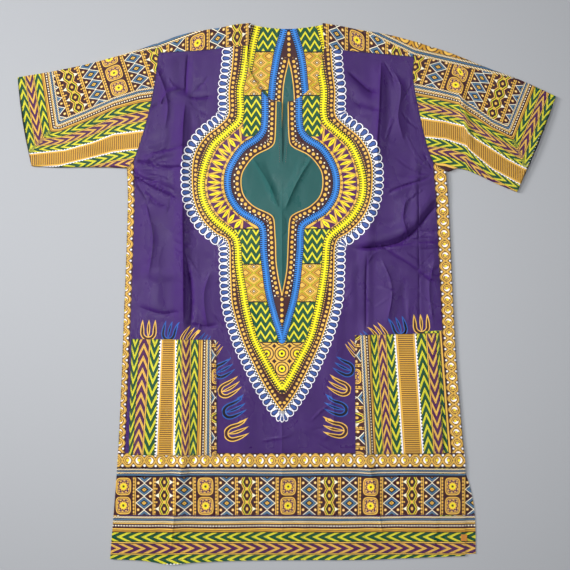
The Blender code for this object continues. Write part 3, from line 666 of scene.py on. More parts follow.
def edge_print(spots, outline):
    """Distance of each spot from the piece's edge."""
    distance = nearest_on_run(spots, numpy.vstack((outline, outline[:1])))[0]
    return numpy.stack((distance, distance, distance), -1)


def flame_print(spots):
    """Places on the rows of flames: flames along the row, and height out of it."""
    places = numpy.tile((0.0, 3.0, 0.0), (len(spots), 1))
    for side, row in ((-1.0, FLAMES_LEFT), (1.0, FLAMES_RIGHT)):
        run = numpy.array(row)
        distance, turn, share, _ = nearest_on_run(spots, run)
        step = share * (len(row) - 1)
        index = numpy.arange(len(row))
        rise = distance * turn * -side / numpy.interp(step, index, FLAME_HEIGHTS)
        lean = numpy.interp(step, index, FLAME_LEANS)
        step = step + lean * numpy.clip(rise, 0.0, 1.2) ** 2
        step = numpy.clip(step, 0.0, len(row) - 1.001)
        close = (distance < 60.0) & (spots[:, 0] * side > 0.0)
        places[close] = numpy.stack((step, rise, numpy.zeros(len(spots))), -1)[close]
    return places


def sheet_object(name, points, faces, attributes, materials, zones=None):
    """Open sheet in millimetres made an object in metres, with its attributes and finishes."""
    mesh = bpy.data.meshes.new(name)
    mesh.from_pydata((numpy.asarray(points) * MM).tolist(), [], [list(face) for face in faces])
    for label, values in attributes.items():
        layer = mesh.attributes.new(label, "FLOAT_VECTOR", "POINT")
        layer.data.foreach_set("vector", numpy.ascontiguousarray(values, dtype=numpy.float32).ravel())
    for material in materials:
        mesh.materials.append(material)
    if zones is not None:
        mesh.polygons.foreach_set("material_index", numpy.asarray(zones, dtype=numpy.int32))
    mesh.polygons.foreach_set("use_smooth", numpy.ones(len(mesh.polygons), dtype=bool))
    mesh.update()
    item = bpy.data.objects.new(name, mesh)
    bpy.context.scene.collection.objects.link(item)
    return item


def give_thickness(item, thickness):
    """Give a sheet its thickness, away from its faces' fronts, and make it part of the mesh."""
    wall = item.modifiers.new("thickness", "SOLIDIFY")
    wall.thickness = thickness
    wall.offset = -1.0
    wall.use_even_offset = False
    wall.use_rim = True
    deselect_all()
    item.select_set(True)
    bpy.context.view_layer.objects.active = item
    bpy.ops.object.modifier_apply(modifier=wall.name)
    bpy.ops.object.shade_smooth_by_angle(angle=math.radians(50.0))
    item.select_set(False)


def deselect_all():
    """Clear the selection, so an operator acts on one piece only."""
    bpy.ops.object.select_all(action="DESELECT")


def grid_faces(rows, columns):
    """Faces between the points of a grid, row by row."""
    faces = []
    for row in range(rows - 1):
        for column in range(columns - 1):
            first = row * columns + column
            faces.append((first, first + 1, first + columns + 1, first + columns))
    return faces


class Number:
    """A socket that carries numbers, for sums written as Python expressions."""

    def __init__(self, ink, socket):
        self.ink = ink
        self.socket = socket

    def __add__(self, other):
        return self.ink.maths("ADD", self, other)

    def __radd__(self, other):
        return self.ink.maths("ADD", other, self)

    def __sub__(self, other):
        return self.ink.maths("SUBTRACT", self, other)

    def __rsub__(self, other):
        return self.ink.maths("SUBTRACT", other, self)

    def __mul__(self, other):
        return self.ink.maths("MULTIPLY", self, other)

    def __rmul__(self, other):
        return self.ink.maths("MULTIPLY", other, self)

    def __truediv__(self, other):
        return self.ink.maths("DIVIDE", self, other)

    def __rtruediv__(self, other):
        return self.ink.maths("DIVIDE", other, self)

    def __lt__(self, other):
        return self.ink.maths("LESS_THAN", self, other)

    def __gt__(self, other):
        return self.ink.maths("GREATER_THAN", self, other)

    def __abs__(self):
        return self.ink.maths("ABSOLUTE", self)

    def part(self):
        """What is left after whole numbers are taken away."""
        return self.ink.maths("FRACT", self)

    def whole(self):
        """Whole number at or below this one."""
        return self.ink.maths("FLOOR", self)

    def turned(self, pitch):
        """Distance from the nearest of evenly spaced middles, below zero before it."""
        return self.ink.maths("WRAP", self, pitch / 2.0, -pitch / 2.0)

    def zigzag(self, height):
        """Goes up to a height and back to zero, again and again."""
        return self.ink.maths("PINGPONG", self, height)

    def between(self, low, high):
        """1 from a low number to a high one, and 0 outside."""
        return self.ink.maths("COMPARE", self, (low + high) / 2.0, (high - low) / 2.0)

    def least(self, other):
        """The smaller of two numbers."""
        return self.ink.maths("MINIMUM", self, other)

    def most(self, other):
        """The larger of two numbers."""
        return self.ink.maths("MAXIMUM", self, other)

    def root(self):
        """Square root."""
        return self.ink.maths("SQRT", self)


class Ink:
    """Nodes of one printed material, added in the order they are worked out."""

    def __init__(self, name):
        self.material = bpy.data.materials.new(name)
        self.material.use_nodes = True
        self.tree = self.material.node_tree
        self.shader = self.tree.nodes["Principled BSDF"]

    def node(self, kind, settings, values):
        """Node of a kind, its settings first, then a value or a link for each socket."""
        node = self.tree.nodes.new(kind)
        for key, setting in settings.items():
            if key == "stops":
                self.set_stops(node.color_ramp, setting)
            else:
                setattr(node, key, setting)
        for key, value in values.items():
            self.feed(node.inputs[key], value)
        return node

    def set_stops(self, ramp, stops):
        """Give a colour ramp its stops."""
        ramp.interpolation = "CONSTANT"
        while len(ramp.elements) < len(stops):
            ramp.elements.new(1.0)
        for element, (position, tone) in zip(ramp.elements, stops):
            element.position = position
            element.color = (*tone, 1.0)

    def feed(self, socket, value):
        """Link a socket, or set its own value."""
        if isinstance(value, Number):
            self.tree.links.new(value.socket, socket)
        elif isinstance(value, bpy.types.NodeSocket):
            self.tree.links.new(value, socket)
        elif socket.type == "RGBA" and len(value) == 3:
            socket.default_value = (*value, 1.0)
        else:
            socket.default_value = value

    def maths(self, operation, *values):
        """Result of one sum."""
        node = self.node("ShaderNodeMath", {"operation": operation}, dict(enumerate(values)))
        return Number(self, node.outputs[0])

    def attribute(self, name):
        """The three numbers of a piece's attribute."""
        source = self.node("ShaderNodeAttribute", {"attribute_name": name}, {})
        split = self.node("ShaderNodeSeparateXYZ", {}, {0: source.outputs["Vector"]})
        return [Number(self, split.outputs[index]) for index in range(3)]

    def over(self, under, share, tone):
        """Colour with a tone laid over it by a share."""
        node = self.node("ShaderNodeMix", {"data_type": "RGBA"}, {0: share, 6: under, 7: tone})
        return node.outputs[2]

    def ramp(self, share, *stops):
        """Colour that steps from tone to tone as a share goes from 0 to 1."""
        return self.node("ShaderNodeValToRGB", {"stops": stops}, {0: share}).outputs[0]

    def length(self, across, up):
        """Length of a step across and up."""
        return (across * across + up * up).root()

    def scaled(self, vector, share):
        """Colour or vector made larger or smaller."""
        values = {0: vector, "Scale": share}
        return self.node("ShaderNodeVectorMath", {"operation": "SCALE"}, values).outputs[0]

    def own_place(self):
        """The piece's own place, in metres."""
        return self.node("ShaderNodeTexCoord", {}, {}).outputs["Object"]

    def noise(self, scale, detail=2.0, squash=(1.0, 1.0, 1.0)):
        """Soft noise on the piece's own place, at a scale for each metre."""
        place = self.own_place()
        stretched = self.node("ShaderNodeMapping", {}, {"Vector": place, "Scale": squash}).outputs[0]
        noise = self.node("ShaderNodeTexNoise", {}, {"Vector": stretched, "Scale": scale, "Detail": detail})
        return Number(self, noise.outputs[0])

    def painted_edge_shade(self, colour, reach=2.4):
        """Colour darkened by painted shade towards the piece's edge, standing in for the shadow that falls
        along its seam.
        """
        edge, _, _ = self.attribute("edges")
        # Painted shade: 38 percent of the colour at the edge, full colour a reach inside it.
        return self.scaled(colour, (edge / reach).least(1.0) * 0.62 + 0.38)

    def finish(self, colour, roughness=0.46):
        """Cotton finish: waxed shine that is worn in places, fine weave, crumples and uneven ink."""
        dye = self.noise(18.0, 4.0)
        cloud = self.noise(900.0, 1.0)
        shade = 0.82 + dye * 0.24 + cloud * 0.12
        self.feed(self.shader.inputs["Base Color"], self.scaled(colour, shade))
        rub = self.noise(26.0, 4.0, (1.0, 0.5, 1.0))
        polish = (roughness - 0.64 + rub * 1.1).most(0.26).least(0.66)
        self.feed(self.shader.inputs["Roughness"], polish)
        self.shader.inputs["Specular IOR Level"].default_value = 0.36
        pulls = self.noise(17.0, 3.0, (1.0, 0.55, 1.0))
        dents = self.noise(64.0, 3.0, (1.0, 0.5, 1.0))
        height = pulls * 2.6 + dents * 0.9 - self.facets(15.0, (1.0, 0.55, 1.0)) * 1.7
        height = height - self.facets(38.0, (0.9, 0.6, 1.0)) * 0.42
        away, depth, _ = self.attribute("creases")
        line = (1.0 - away * 0.22).most(0.0)
        height = height + line * line * depth * 1.15
        edge, _, _ = self.attribute("edges")
        turned = ((HEM_TURN - edge) * 0.9).least(1.0).most(0.0)
        sewn = (1.0 - abs(edge - HEM_TURN + STITCH_INSET) * 0.8).most(0.0)
        height = height + turned * 0.34 - sewn * 0.26
        height = height + self.threads() * 0.09
        bump = self.node("ShaderNodeBump", {}, {"Strength": 0.75, "Distance": 0.0011, "Height": height})
        self.feed(self.shader.inputs["Normal"], bump.outputs[0])
        return self.material

    def facets(self, scale, squash):
        """Flat facets with sharp lines between them, as in crumpled cotton."""
        place = self.own_place()
        sway = self.node("ShaderNodeTexNoise", {}, {"Vector": place, "Scale": scale * 0.7, "Detail": 2.0})
        moved = self.scaled(sway.outputs["Color"], 0.5 / scale)
        both = self.node("ShaderNodeVectorMath", {"operation": "ADD"}, {0: place, 1: moved}).outputs[0]
        stretched = self.node("ShaderNodeMapping", {}, {"Vector": both, "Scale": squash}).outputs[0]
        cells = self.node("ShaderNodeTexVoronoi", {"feature": "F1"}, {"Vector": stretched, "Scale": scale})
        return Number(self, cells.outputs["Distance"])

    def threads(self):
        """Crossing threads of the weave, 1.1 mm for each pair."""
        split = self.node("ShaderNodeSeparateXYZ", {}, {0: self.own_place()})
        warp, weft = (Number(self, split.outputs[index]) * (math.tau / 0.0011) for index in range(2))
        return self.maths("SINE", warp) * self.maths("SINE", weft)


def chevrons(ink, colour, share, run, across, middle, pitch, lean, tones):
    """Band of stripes that meet in points on its middle line."""
    dark, body, light = tones
    phase = ((run + abs(across - middle) * lean) / pitch).part()
    stripes = ink.ramp(phase, (0.0, light), (0.15, body), (0.19, light), (0.40, dark), (0.47, body),
                       (0.62, dark), (0.66, body), (0.93, dark))
    return ink.over(colour, share, stripes)


def border_rows(ink, tones, colour, q, run):
    """Rows of the border outside its rope, by distance from the rope and length along it."""
    green = (tones.dark, tones.leaf, tones.lime)
    tan = (tones.brown, tones.plum, tones.gold)
    pitch = 19.6
    colour = ink.over(colour, q > 0.0, tones.brown)
    colour = ink.over(colour, q.between(0.0, 1.4), tones.gold)
    colour = ink.over(colour, q.between(8.2, 15.4), tones.brown)
    colour = ink.over(colour, q.between(8.8, 11.0), tones.gold)
    colour = ink.over(colour, q.between(11.8, 14.0), tones.ochre)
    colour = ink.over(colour, ink.length(run.turned(4.6), q - 4.6) < 1.35, tones.cream)
    colour = ink.over(colour, q.between(15.4, 150.0), tones.dark)
    colour = chevrons(ink, colour, q.between(15.4, 29.8), run, q, 22.6, pitch, -2.25, green)
    colour = ink.over(colour, q.between(30.8, 32.4), tones.gold)
    colour = chevrons(ink, colour, q.between(33.4, 48.4), run, q, 41.0, pitch, 2.25, tan)
    colour = ink.over(colour, q.between(49.2, 50.6), tones.gold)
    colour = chevrons(ink, colour, q.between(51.4, 66.0), run, q, 58.6, pitch, -2.25, green)
    rungs = ink.ramp((run / 3.4).part(), (0.0, tones.brown), (0.36, tones.gold), (0.56, tones.ochre))
    colour = ink.over(colour, q.between(67.8, 94.2), tones.ochre)
    colour = ink.over(colour, (abs(q - 81.0) - 11.8).between(-0.8, 0.8), tones.gold)
    colour = ink.over(colour, q.between(70.4, 91.6), rungs)
    edge = abs(q - 81.0)
    scallop = ink.maths("SINE", run * (math.tau / 5.4)) * 0.8
    colour = ink.over(colour, (edge > 13.2) * (edge < 15.0 + scallop), tones.white)
    colour = chevrons(ink, colour, q.between(96.6, 112.0), run, q, 104.2, pitch, 2.25, green)
    colour = ink.over(colour, q.between(112.6, 114.2), tones.gold)
    colour = chevrons(ink, colour, q.between(114.8, 129.6), run, q, 122.0, pitch, -2.25, tan)
    colour = chevrons(ink, colour, q.between(130.4, 146.0), run, q, 138.2, pitch, 2.25, green)
    return ink.over(colour, q.between(146.4, 151.0), tones.gold)


def rope_row(ink, tones, colour, q, run, size):
    """Twisted rope with a teal line, 10.4 mm wide at its size, ending at zero."""
    p = q / size
    colour = ink.over(colour, p.between(-10.8, 0.0), tones.dark)
    twist = ((run + p * 1.6) / 4.6).part()
    strands = ink.ramp(twist, (0.0, tones.cream), (0.42, tones.gold), (0.70, tones.dark))
    colour = ink.over(colour, p.between(-3.4, -0.4), strands)
    colour = ink.over(colour, p.between(-6.6, -4.4), tones.teal)
    return ink.over(colour, p.between(-10.6, -7.6), strands)


def flower_square(ink, tones, across, up):
    """Colour and share of a rounded square with a flower in it."""
    wide, tall = across * across * (1.0 / 156.0), up * up * (1.0 / 205.0)
    bounds = wide * wide + tall * tall
    distance = ink.length(across, up)
    turn = ink.maths("ARCTAN2", up, across)
    petal = ink.maths("SINE", turn * 10.0)
    frame_tone = ink.ramp(bounds, (0.0, tones.plum), (0.26, tones.gold), (0.40, tones.brown),
                          (0.54, tones.gold), (0.92, tones.brown))
    flower = ink.ramp((distance + petal * 0.7) / 10.0, (0.0, tones.brown), (0.19, tones.yellow),
                      (0.44, tones.gold), (0.66, tones.brown))
    colour = ink.over(frame_tone, distance < 7.4, flower)
    dots = (abs(distance - 9.2) < 0.9) * (petal > -0.1)
    colour = ink.over(colour, dots, tones.gold)
    return colour, bounds < 1.0


def panels(ink, tones, colour, run, up, top):
    """Row of panels 132 mm apart, up to a top: flowers, lozenge columns and zigzags."""
    place = run.turned(132.0)
    out = abs(place)
    colour = ink.over(colour, up.between(0.0, top), tones.brown)
    inner = up.between(1.2, top - 1.2)
    flower, share = flower_square(ink, tones, place, (up - 15.8).turned(30.6))
    colour = ink.over(colour, share * (out < 13.0) * inner, flower)
    # Strings of small ovals and gold lines between the panels.
    oval = ink.length((out - 16.6).least(abs(out - 50.6)), up.turned(5.4) * 0.62) < 1.35
    colour = ink.over(colour, oval * inner, tones.gold)
    lines = (abs(out - 19.4) < 0.7).most(abs(out - 48.0) < 0.7)
    colour = ink.over(colour, lines * inner, tones.gold)
    # Lozenges in a column, with dotted triangles beside them.
    across = abs(out - 33.7)
    rise = abs((up - 20.0).turned(21.4))
    measure = across / 13.6 + rise / 10.7
    stone = ink.ramp(measure / 2.0, (0.0, tones.dark), (0.05, tones.gold), (0.14, tones.dark),
                     (0.25, tones.teal), (0.40, tones.dark), (0.44, tones.cream), (0.51, tones.brown))
    colour = ink.over(colour, (across < 13.6) * inner, stone)
    dot = ink.length(across - 9.8, rise - 10.7)
    colour = ink.over(colour, (across < 13.6) * inner * (dot < 2.2), tones.gold)
    colour = ink.over(colour, (across < 13.6) * inner * (dot < 0.9), tones.cream)
    # Zigzags that meet in a column, with pale wedges.
    inward = 66.0 - out
    area = (inward < 15.0) * inner
    bend = up.zigzag(10.7) * 0.5
    colour = ink.over(colour, area * (abs(inward - bend - 4.6) < 0.85), tones.gold)
    colour = ink.over(colour, area * (abs(inward - bend - 1.6) < 0.75), tones.lime)
    stem = ink.length(inward, up.turned(10.7) * 0.7) < 2.0
    colour = ink.over(colour, area * stem, tones.gold)
    wedge = abs((up - 10.7).turned(21.4)) < (14.6 - inward) * 0.62
    colour = ink.over(colour, area * wedge * (inward > 8.8), tones.cream)
    speck = ink.length(inward - 12.4, up.turned(21.4)) < 1.4
    return ink.over(colour, area * speck, tones.gold)


def beads(ink, tones, colour, run, up, height):
    """Row of round beads between two crossing cords, their pale crescents left and right in turn."""
    colour = ink.over(colour, up.between(0.0, height), tones.brown)
    pitch = 17.7
    turn = (run / pitch).whole()
    other = (turn * 0.5).part() * 4.0 - 1.0
    x = run - (turn + 0.5) * pitch
    y = up - height * 0.47
    swing = ink.maths("SINE", run * (math.pi / pitch)) * (height * 0.34)
    cord = abs(abs(y) - abs(swing) - height * 0.04)
    twist = ink.ramp(cord / 5.0, (0.0, tones.gold), (0.24, tones.brown), (0.34, tones.gold),
                     (0.52, tones.brown))
    colour = ink.over(colour, cord < 3.0, twist)
    distance = ink.length(x * 1.04, y) / (height * 0.4)
    ring = ink.ramp(distance, (0.0, tones.yellow), (0.20, tones.gold), (0.36, tones.brown),
                    (0.48, tones.gold), (0.66, tones.brown))
    colour = ink.over(colour, distance < 0.74, ring)
    crescent = (ink.length(x + other * 1.2, y - 1.2) > height * 0.17) * (x * other > 0.4)
    colour = ink.over(colour, (distance < 0.58) * crescent, tones.white)
    corner = ink.length(abs(x) - pitch * 0.5, abs(y) - height * 0.36)
    return ink.over(colour, corner < height * 0.085, tones.white)


def ground(ink, tones):
    """Plain purple cotton, a little uneven."""
    return ink.over(tones.purple, ink.noise(9.0, 3.0) * 0.16, (0.13, 0.07, 0.26))


def scallops(ink, tones, colour, rim, run):
    """Loops with blue drops, standing on the rim of the medallion."""
    a = run.turned(LOOP_PITCH)
    reach = ink.length(a, (rim - 13.2).most(0.0))
    taper = a * (1.0 + (13.2 - rim).most(0.0) * 0.055)
    low = ink.length(taper, (rim - 8.0).least(0.0))
    loop = ink.ramp(reach.most(low) / 6.0, (0.0, tones.drop), (0.40, tones.dark), (0.53, tones.purple),
                    (0.66, tones.white), (0.88, tones.purple))
    colour = ink.over(colour, rim.between(5.2, 18.6), loop)
    feet = abs(abs(a) - 5.1) < (11.0 - rim) * 0.16 + 0.55
    colour = ink.over(colour, rim.between(4.8, 11.0) * feet, tones.white)
    colour = ink.over(colour, rim.between(0.8, 5.4), tones.dark)
    dots = ink.length(run.turned(5.1), rim - 2.2) < 1.15
    colour = ink.over(colour, dots, tones.white)
    dots = ink.length((run + 2.55).turned(5.1), rim - 4.4) < 1.1
    return ink.over(colour, dots, tones.white)


def ticked(ink, tones, colour, distance, run, tone, pitch):
    """Bright band with dark ticks along both of its edges."""
    away = abs(distance)
    colour = ink.over(colour, away < 6.2, tones.dark)
    colour = ink.over(colour, away < 5.2, tone)
    ticks = ((run / pitch).part() < 0.44) * (away > 1.7)
    return ink.over(colour, ticks * (away < 5.3), tones.dark)


def rays(ink, tones, colour, share, run, blue, yellow):
    """Ring of leaves with purple wedges between them."""
    span = (blue / (blue - yellow) - 0.24) / 0.54
    colour = ink.over(colour, share, tones.gold)
    colour = ink.over(colour, share * span.between(0.0, 1.0), tones.plum)
    zigzag = abs(run.zigzag(12.4) / 12.4 - span)
    edge = ink.ramp(zigzag, (0.0, tones.gold), (0.13, tones.brown))
    colour = ink.over(colour, share * span.between(0.0, 1.0) * (zigzag < 0.18), edge)
    bead = ink.length((run + 6.2).turned(12.4), (abs(span - 0.5) - 0.66) * 14.0)
    colour = ink.over(colour, share * bead.between(1.2, 2.2), tones.brown)
    bend = (span - 0.50) / 0.52
    leaf = abs(run.turned(12.4)) / 3.4 + bend * bend
    shade = ink.ramp(leaf, (0.0, tones.brown), (0.12, tones.yellow), (0.72, tones.gold), (0.84, tones.brown))
    return ink.over(colour, share * (leaf < 1.0), shade)


def lozenge_block(ink, tones, colour, share, u, v):
    """Gold block with crossing dark lines and small lozenges."""
    measure = abs(u.turned(26.0)) / 13.0 + abs(v.turned(20.0)) / 10.0
    shade = ink.ramp(measure / 2.0, (0.0, tones.cream), (0.07, tones.brown), (0.14, tones.gold),
                     (0.21, tones.brown), (0.26, tones.gold), (0.44, tones.brown), (0.48, tones.yellow),
                     (0.53, tones.brown), (0.57, tones.ochre), (0.74, tones.brown), (0.79, tones.gold))
    return ink.over(colour, share, shade)


def zigzag_block(ink, tones, colour, share, u, v, way):
    """Green block with rows of lime zigzags."""
    phase = ((v * way + (u + 3.0).zigzag(7.4) * 1.6) / 14.0).part()
    shade = ink.ramp(phase, (0.0, tones.lime), (0.34, tones.dark), (0.41, tones.leaf), (0.92, tones.dark))
    return ink.over(colour, share, shade)


def medallion(ink, tones, colour):
    """The neck medallion, painted from its rim to its middle."""
    u, v, _ = ink.attribute("place")
    rim, yellow, rim_run = ink.attribute("outer_lines")
    colour = scallops(ink, tones, colour, rim, rim_run)
    colour = ink.over(colour, rim < 1.0, tones.gold)
    colour = ink.over(colour, rim < -1.0, tones.brown)
    colour = ink.over(colour, ink.length(rim_run.turned(7.4), rim + 5.0) < 2.3, tones.gold)
    colour = ink.over(colour, yellow < 8.2, tones.dark)
    speck = ink.length(rim_run.turned(4.0), yellow - 7.6) < 0.9
    colour = ink.over(colour, speck, tones.gold)
    blue, green, yellow_run = ink.attribute("inner_lines")
    out = abs(u)
    field = (yellow < -4.6) * (blue > 4.6)
    colour = rays(ink, tones, colour, field, yellow_run, blue, yellow)
    colour = lozenge_block(ink, tones, colour, field * (v > 318.0), out - 45.0, v)
    colour = zigzag_block(ink, tones, colour, field * v.between(252.0, 316.5) * (out < 62.0), out, v, 1.0)
    lower = v < 104.0
    colour = zigzag_block(ink, tones, colour, field * lower, out, v, -1.0)
    colour = lozenge_block(ink, tones, colour, field * v.between(-13.0, 48.0), out - 45.0, v - 4.0)
    panel = field * (v < -78.0)
    fan = ink.length(out.turned(24.0), (v + 96.0).turned(24.0))
    rings = ink.ramp(fan / 17.0, (0.0, tones.brown), (0.12, tones.yellow), (0.30, tones.brown),
                     (0.40, tones.gold), (0.58, tones.brown), (0.68, tones.gold), (0.84, tones.brown))
    colour = ink.over(colour, panel, rings)
    edges = (abs(v - 317.5) < 1.0).most(abs(v - 104.0) < 1.0).most(abs(v - 48.0) < 1.0)
    edges = edges.most(abs(v + 13.0) < 1.0).most(abs(v + 78.0) < 1.0)
    colour = ink.over(colour, field * edges, tones.dark)
    colour = ticked(ink, tones, colour, yellow, yellow_run, tones.yellow, 4.0)
    blue_run, green_run, _ = ink.attribute("walked_lines")
    colour = ink.over(colour, blue < -4.6, tones.brown)
    colour = ticked(ink, tones, colour, blue, blue_run, tones.blue, 3.3)
    row = (green > 1.0) * (v > -4.0)
    colour = ink.over(colour, row * (ink.length(green_run.turned(8.0), green - 6.4) < 2.5), tones.gold)
    speck = (ink.length((green_run + 4.0).turned(8.0), green - 11.0) < 1.2) * (blue < -6.0)
    colour = ink.over(colour, row * speck, tones.cream)
    middle = (v < -6.0) * (blue < -6.5) * (ink.length(out, v.turned(8.6)) < 2.6)
    colour = ink.over(colour, middle, tones.gold)
    colour = ink.over(colour, green < 1.1, tones.gold)
    return ink.over(colour, green < -0.5, tones.disc)


def medallion_cotton(tones):
    """Cotton with the neck medallion."""
    ink = Ink("medallion cotton")
    return ink.finish(medallion(ink, tones, ground(ink, tones)), 0.46)


def ground_cotton(tones):
    """Plain purple cotton of the body with bead strips at its sides."""
    ink = Ink("purple cotton")
    colour = ground(ink, tones)
    colour = flames(ink, tones, colour)
    colour = sides(ink, tones, colour)
    # Painted shade darkens the body's cotton towards its edges, standing in for the seam shadow.
    return ink.finish(ink.painted_edge_shade(colour), 0.42)


def flames(ink, tones, colour):
    """Three-pointed flames in a row, blue and gold in turn, dark inside."""
    step, rise, _ = ink.attribute("flames")
    a = step.part() - 0.5
    base = rise - 0.34
    width = 0.098 - base.most(0.0) * base.most(0.0) * 0.225
    outer = abs(ink.length(a, base.least(0.0) * 0.92) - 0.30) - width
    stem = rise - 0.52
    inner = abs(a) - (0.080 - stem * stem * 0.36)
    shape = outer.least(inner)
    second = (step * 0.5).part() > 0.5
    line = ink.over(tones.gold, second, tones.flame)
    inside_tone = ink.over(tones.brown, second, tones.dark)
    shown = (shape < 0.0) * rise.between(-0.06, 1.02)
    colour = ink.over(colour, shown, line)
    return ink.over(colour, shown * (shape < -0.045), inside_tone)


def sides(ink, tones, colour):
    """Bead strip at each side of the front, and the border column beside a pocket."""
    middle, run, column = ink.attribute("sides")
    green = (tones.dark, tones.leaf, tones.lime)
    column = column + 9.0
    colour = chevrons(ink, colour, column.between(-16.0, 7.6), run, column, -0.6, 19.6, 2.25, green)
    colour = ink.over(colour, column.between(7.8, 15.0), tones.brown)
    colour = ink.over(colour, column.between(8.8, 11.6), tones.gold)
    strip = middle.between(-10.4, 10.4)
    colour = ink.over(colour, strip, tones.brown)
    return beads(ink, tones, colour, run, middle + 10.2, 20.4)


def hem_cotton(tones):
    """Cotton with the border above the hem."""
    ink = Ink("border cotton")
    u, v, _ = ink.attribute("place")
    run = u + AXIS_X - 2.0
    colour = sides(ink, tones, ground(ink, tones))
    colour = beads(ink, tones, colour, run, v + 277.4, 22.8)
    colour = ink.over(colour, v.between(-279.4, -277.4), tones.dark)
    colour = rope_row(ink, tones, colour, -287.6 - v, run, 0.72)
    colour = ink.over(colour, v.between(-293.0, -288.0), tones.dark)
    colour = ink.over(colour, v.between(-290.6, -288.6), tones.teal)
    colour = panels(ink, tones, colour, run, v + 354.6, 62.0)
    colour = border_rows(ink, tones, colour, -366.6 - v, run)
    colour = rope_row(ink, tones, colour, -366.6 - v, run, 1.0)
    return ink.finish(colour, 0.5)


def pocket_cotton(tones):
    """Cotton of the pockets, with the border turned upright."""
    ink = Ink("pocket cotton")
    q, run, _ = ink.attribute("border")
    colour = panels(ink, tones, tones.brown, run, -10.8 - q, 61.0)
    colour = border_rows(ink, tones, colour, q, run)
    colour = rope_row(ink, tones, colour, q, run, 1.0)
    # Painted shade darkens the pocket's cotton towards its edges, standing in for the shadow along them.
    return ink.finish(ink.painted_edge_shade(colour, 1.8), 0.5)


def sleeve_cotton(tones, name="sleeve cotton"):
    """Cotton of the sleeves and shoulders: a frame round the panels, and the border outside it."""
    ink = Ink(name)
    q, run, above = ink.attribute("border")
    span, up, _ = ink.attribute("panel")
    colour = panels(ink, tones, tones.brown, span, up, 96.0)
    colour = border_rows(ink, tones, colour, q, run)
    colour = rope_row(ink, tones, colour, q, run, 1.0)
    ring = ink.length(span.turned(26.0), (above - 20.0).turned(26.0)) / 18.0
    rings = ink.ramp(ring, (0.0, tones.cream), (0.12, tones.brown), (0.22, tones.gold), (0.46, tones.brown),
                     (0.56, tones.ochre), (0.76, tones.brown), (0.84, tones.gold))
    colour = ink.over(colour, above > 0.0, rings)
    colour = rope_row(ink, tones, colour, above - 10.8, span, 1.0)
    # Painted shade darkens the sleeve's cotton towards its cuff; the shoulder cotton has none.
    return ink.finish(colour if name == "shoulder cotton" else ink.painted_edge_shade(colour, 1.8), 0.5)


def plain_cotton(name, tone, roughness=0.5):
    """Cotton or thread of one ink."""
    ink = Ink(name)
    colour = ink.over(tone, ink.noise(40.0, 2.0) * 0.3, tuple(value * 0.7 for value in tone))
    return ink.finish(colour, roughness)


def front_outline(step):
    """Edge of the front panel, counter-clockwise, on its seams."""
    runs = (
        smooth_run(SEAM_LEFT, step)[:-1],
        smooth_run(ARMHOLE_LEFT, step),
        smooth_run(SIDE_LEFT, step)[1:],
        smooth_run(FRONT_HEM, step)[1:],
        smooth_run(SIDE_RIGHT, step)[-2:0:-1],
        smooth_run(ARMHOLE_RIGHT, step)[::-1],
        smooth_run(SEAM_RIGHT, step)[-2::-1],
        smooth_run(NECK_RIGHT, step)[-2::-1],
        along(numpy.array([NECK_RIGHT[0], SLIT_END]), numpy.arange(1, 28) / 28.0),
        numpy.array([SLIT_END]),
        along(numpy.array([SLIT_END, NECK_LEFT[-1]]), numpy.arange(1, 28) / 28.0),
        smooth_run(NECK_LEFT, step)[:0:-1],
    )
    return numpy.vstack(runs)


def front_top(spots, sizes):
    """Height of the front's upper face, with its small waves."""
    top = front_rise(spots) + WALL + fold_height(spots, FINE_CREASES)
    top += fold_height(spots, PRESSED_CREASES, True) * PRESSED_DEPTH
    left, right = side_limits(spots[:, 1])
    from_edge = numpy.minimum(spots[:, 0] - left, right - spots[:, 0])
    calm = ease(from_edge / 18.0) * ease((spots[:, 1] - FRONT_HEM[0].y) / 24.0)
    top += waves(spots, sizes.wave_seed, stretch=1.7) * sizes.crumple / MM * (0.25 + 0.75 * calm)
    return numpy.maximum(top, HEM_RISE + WALL * 0.8)


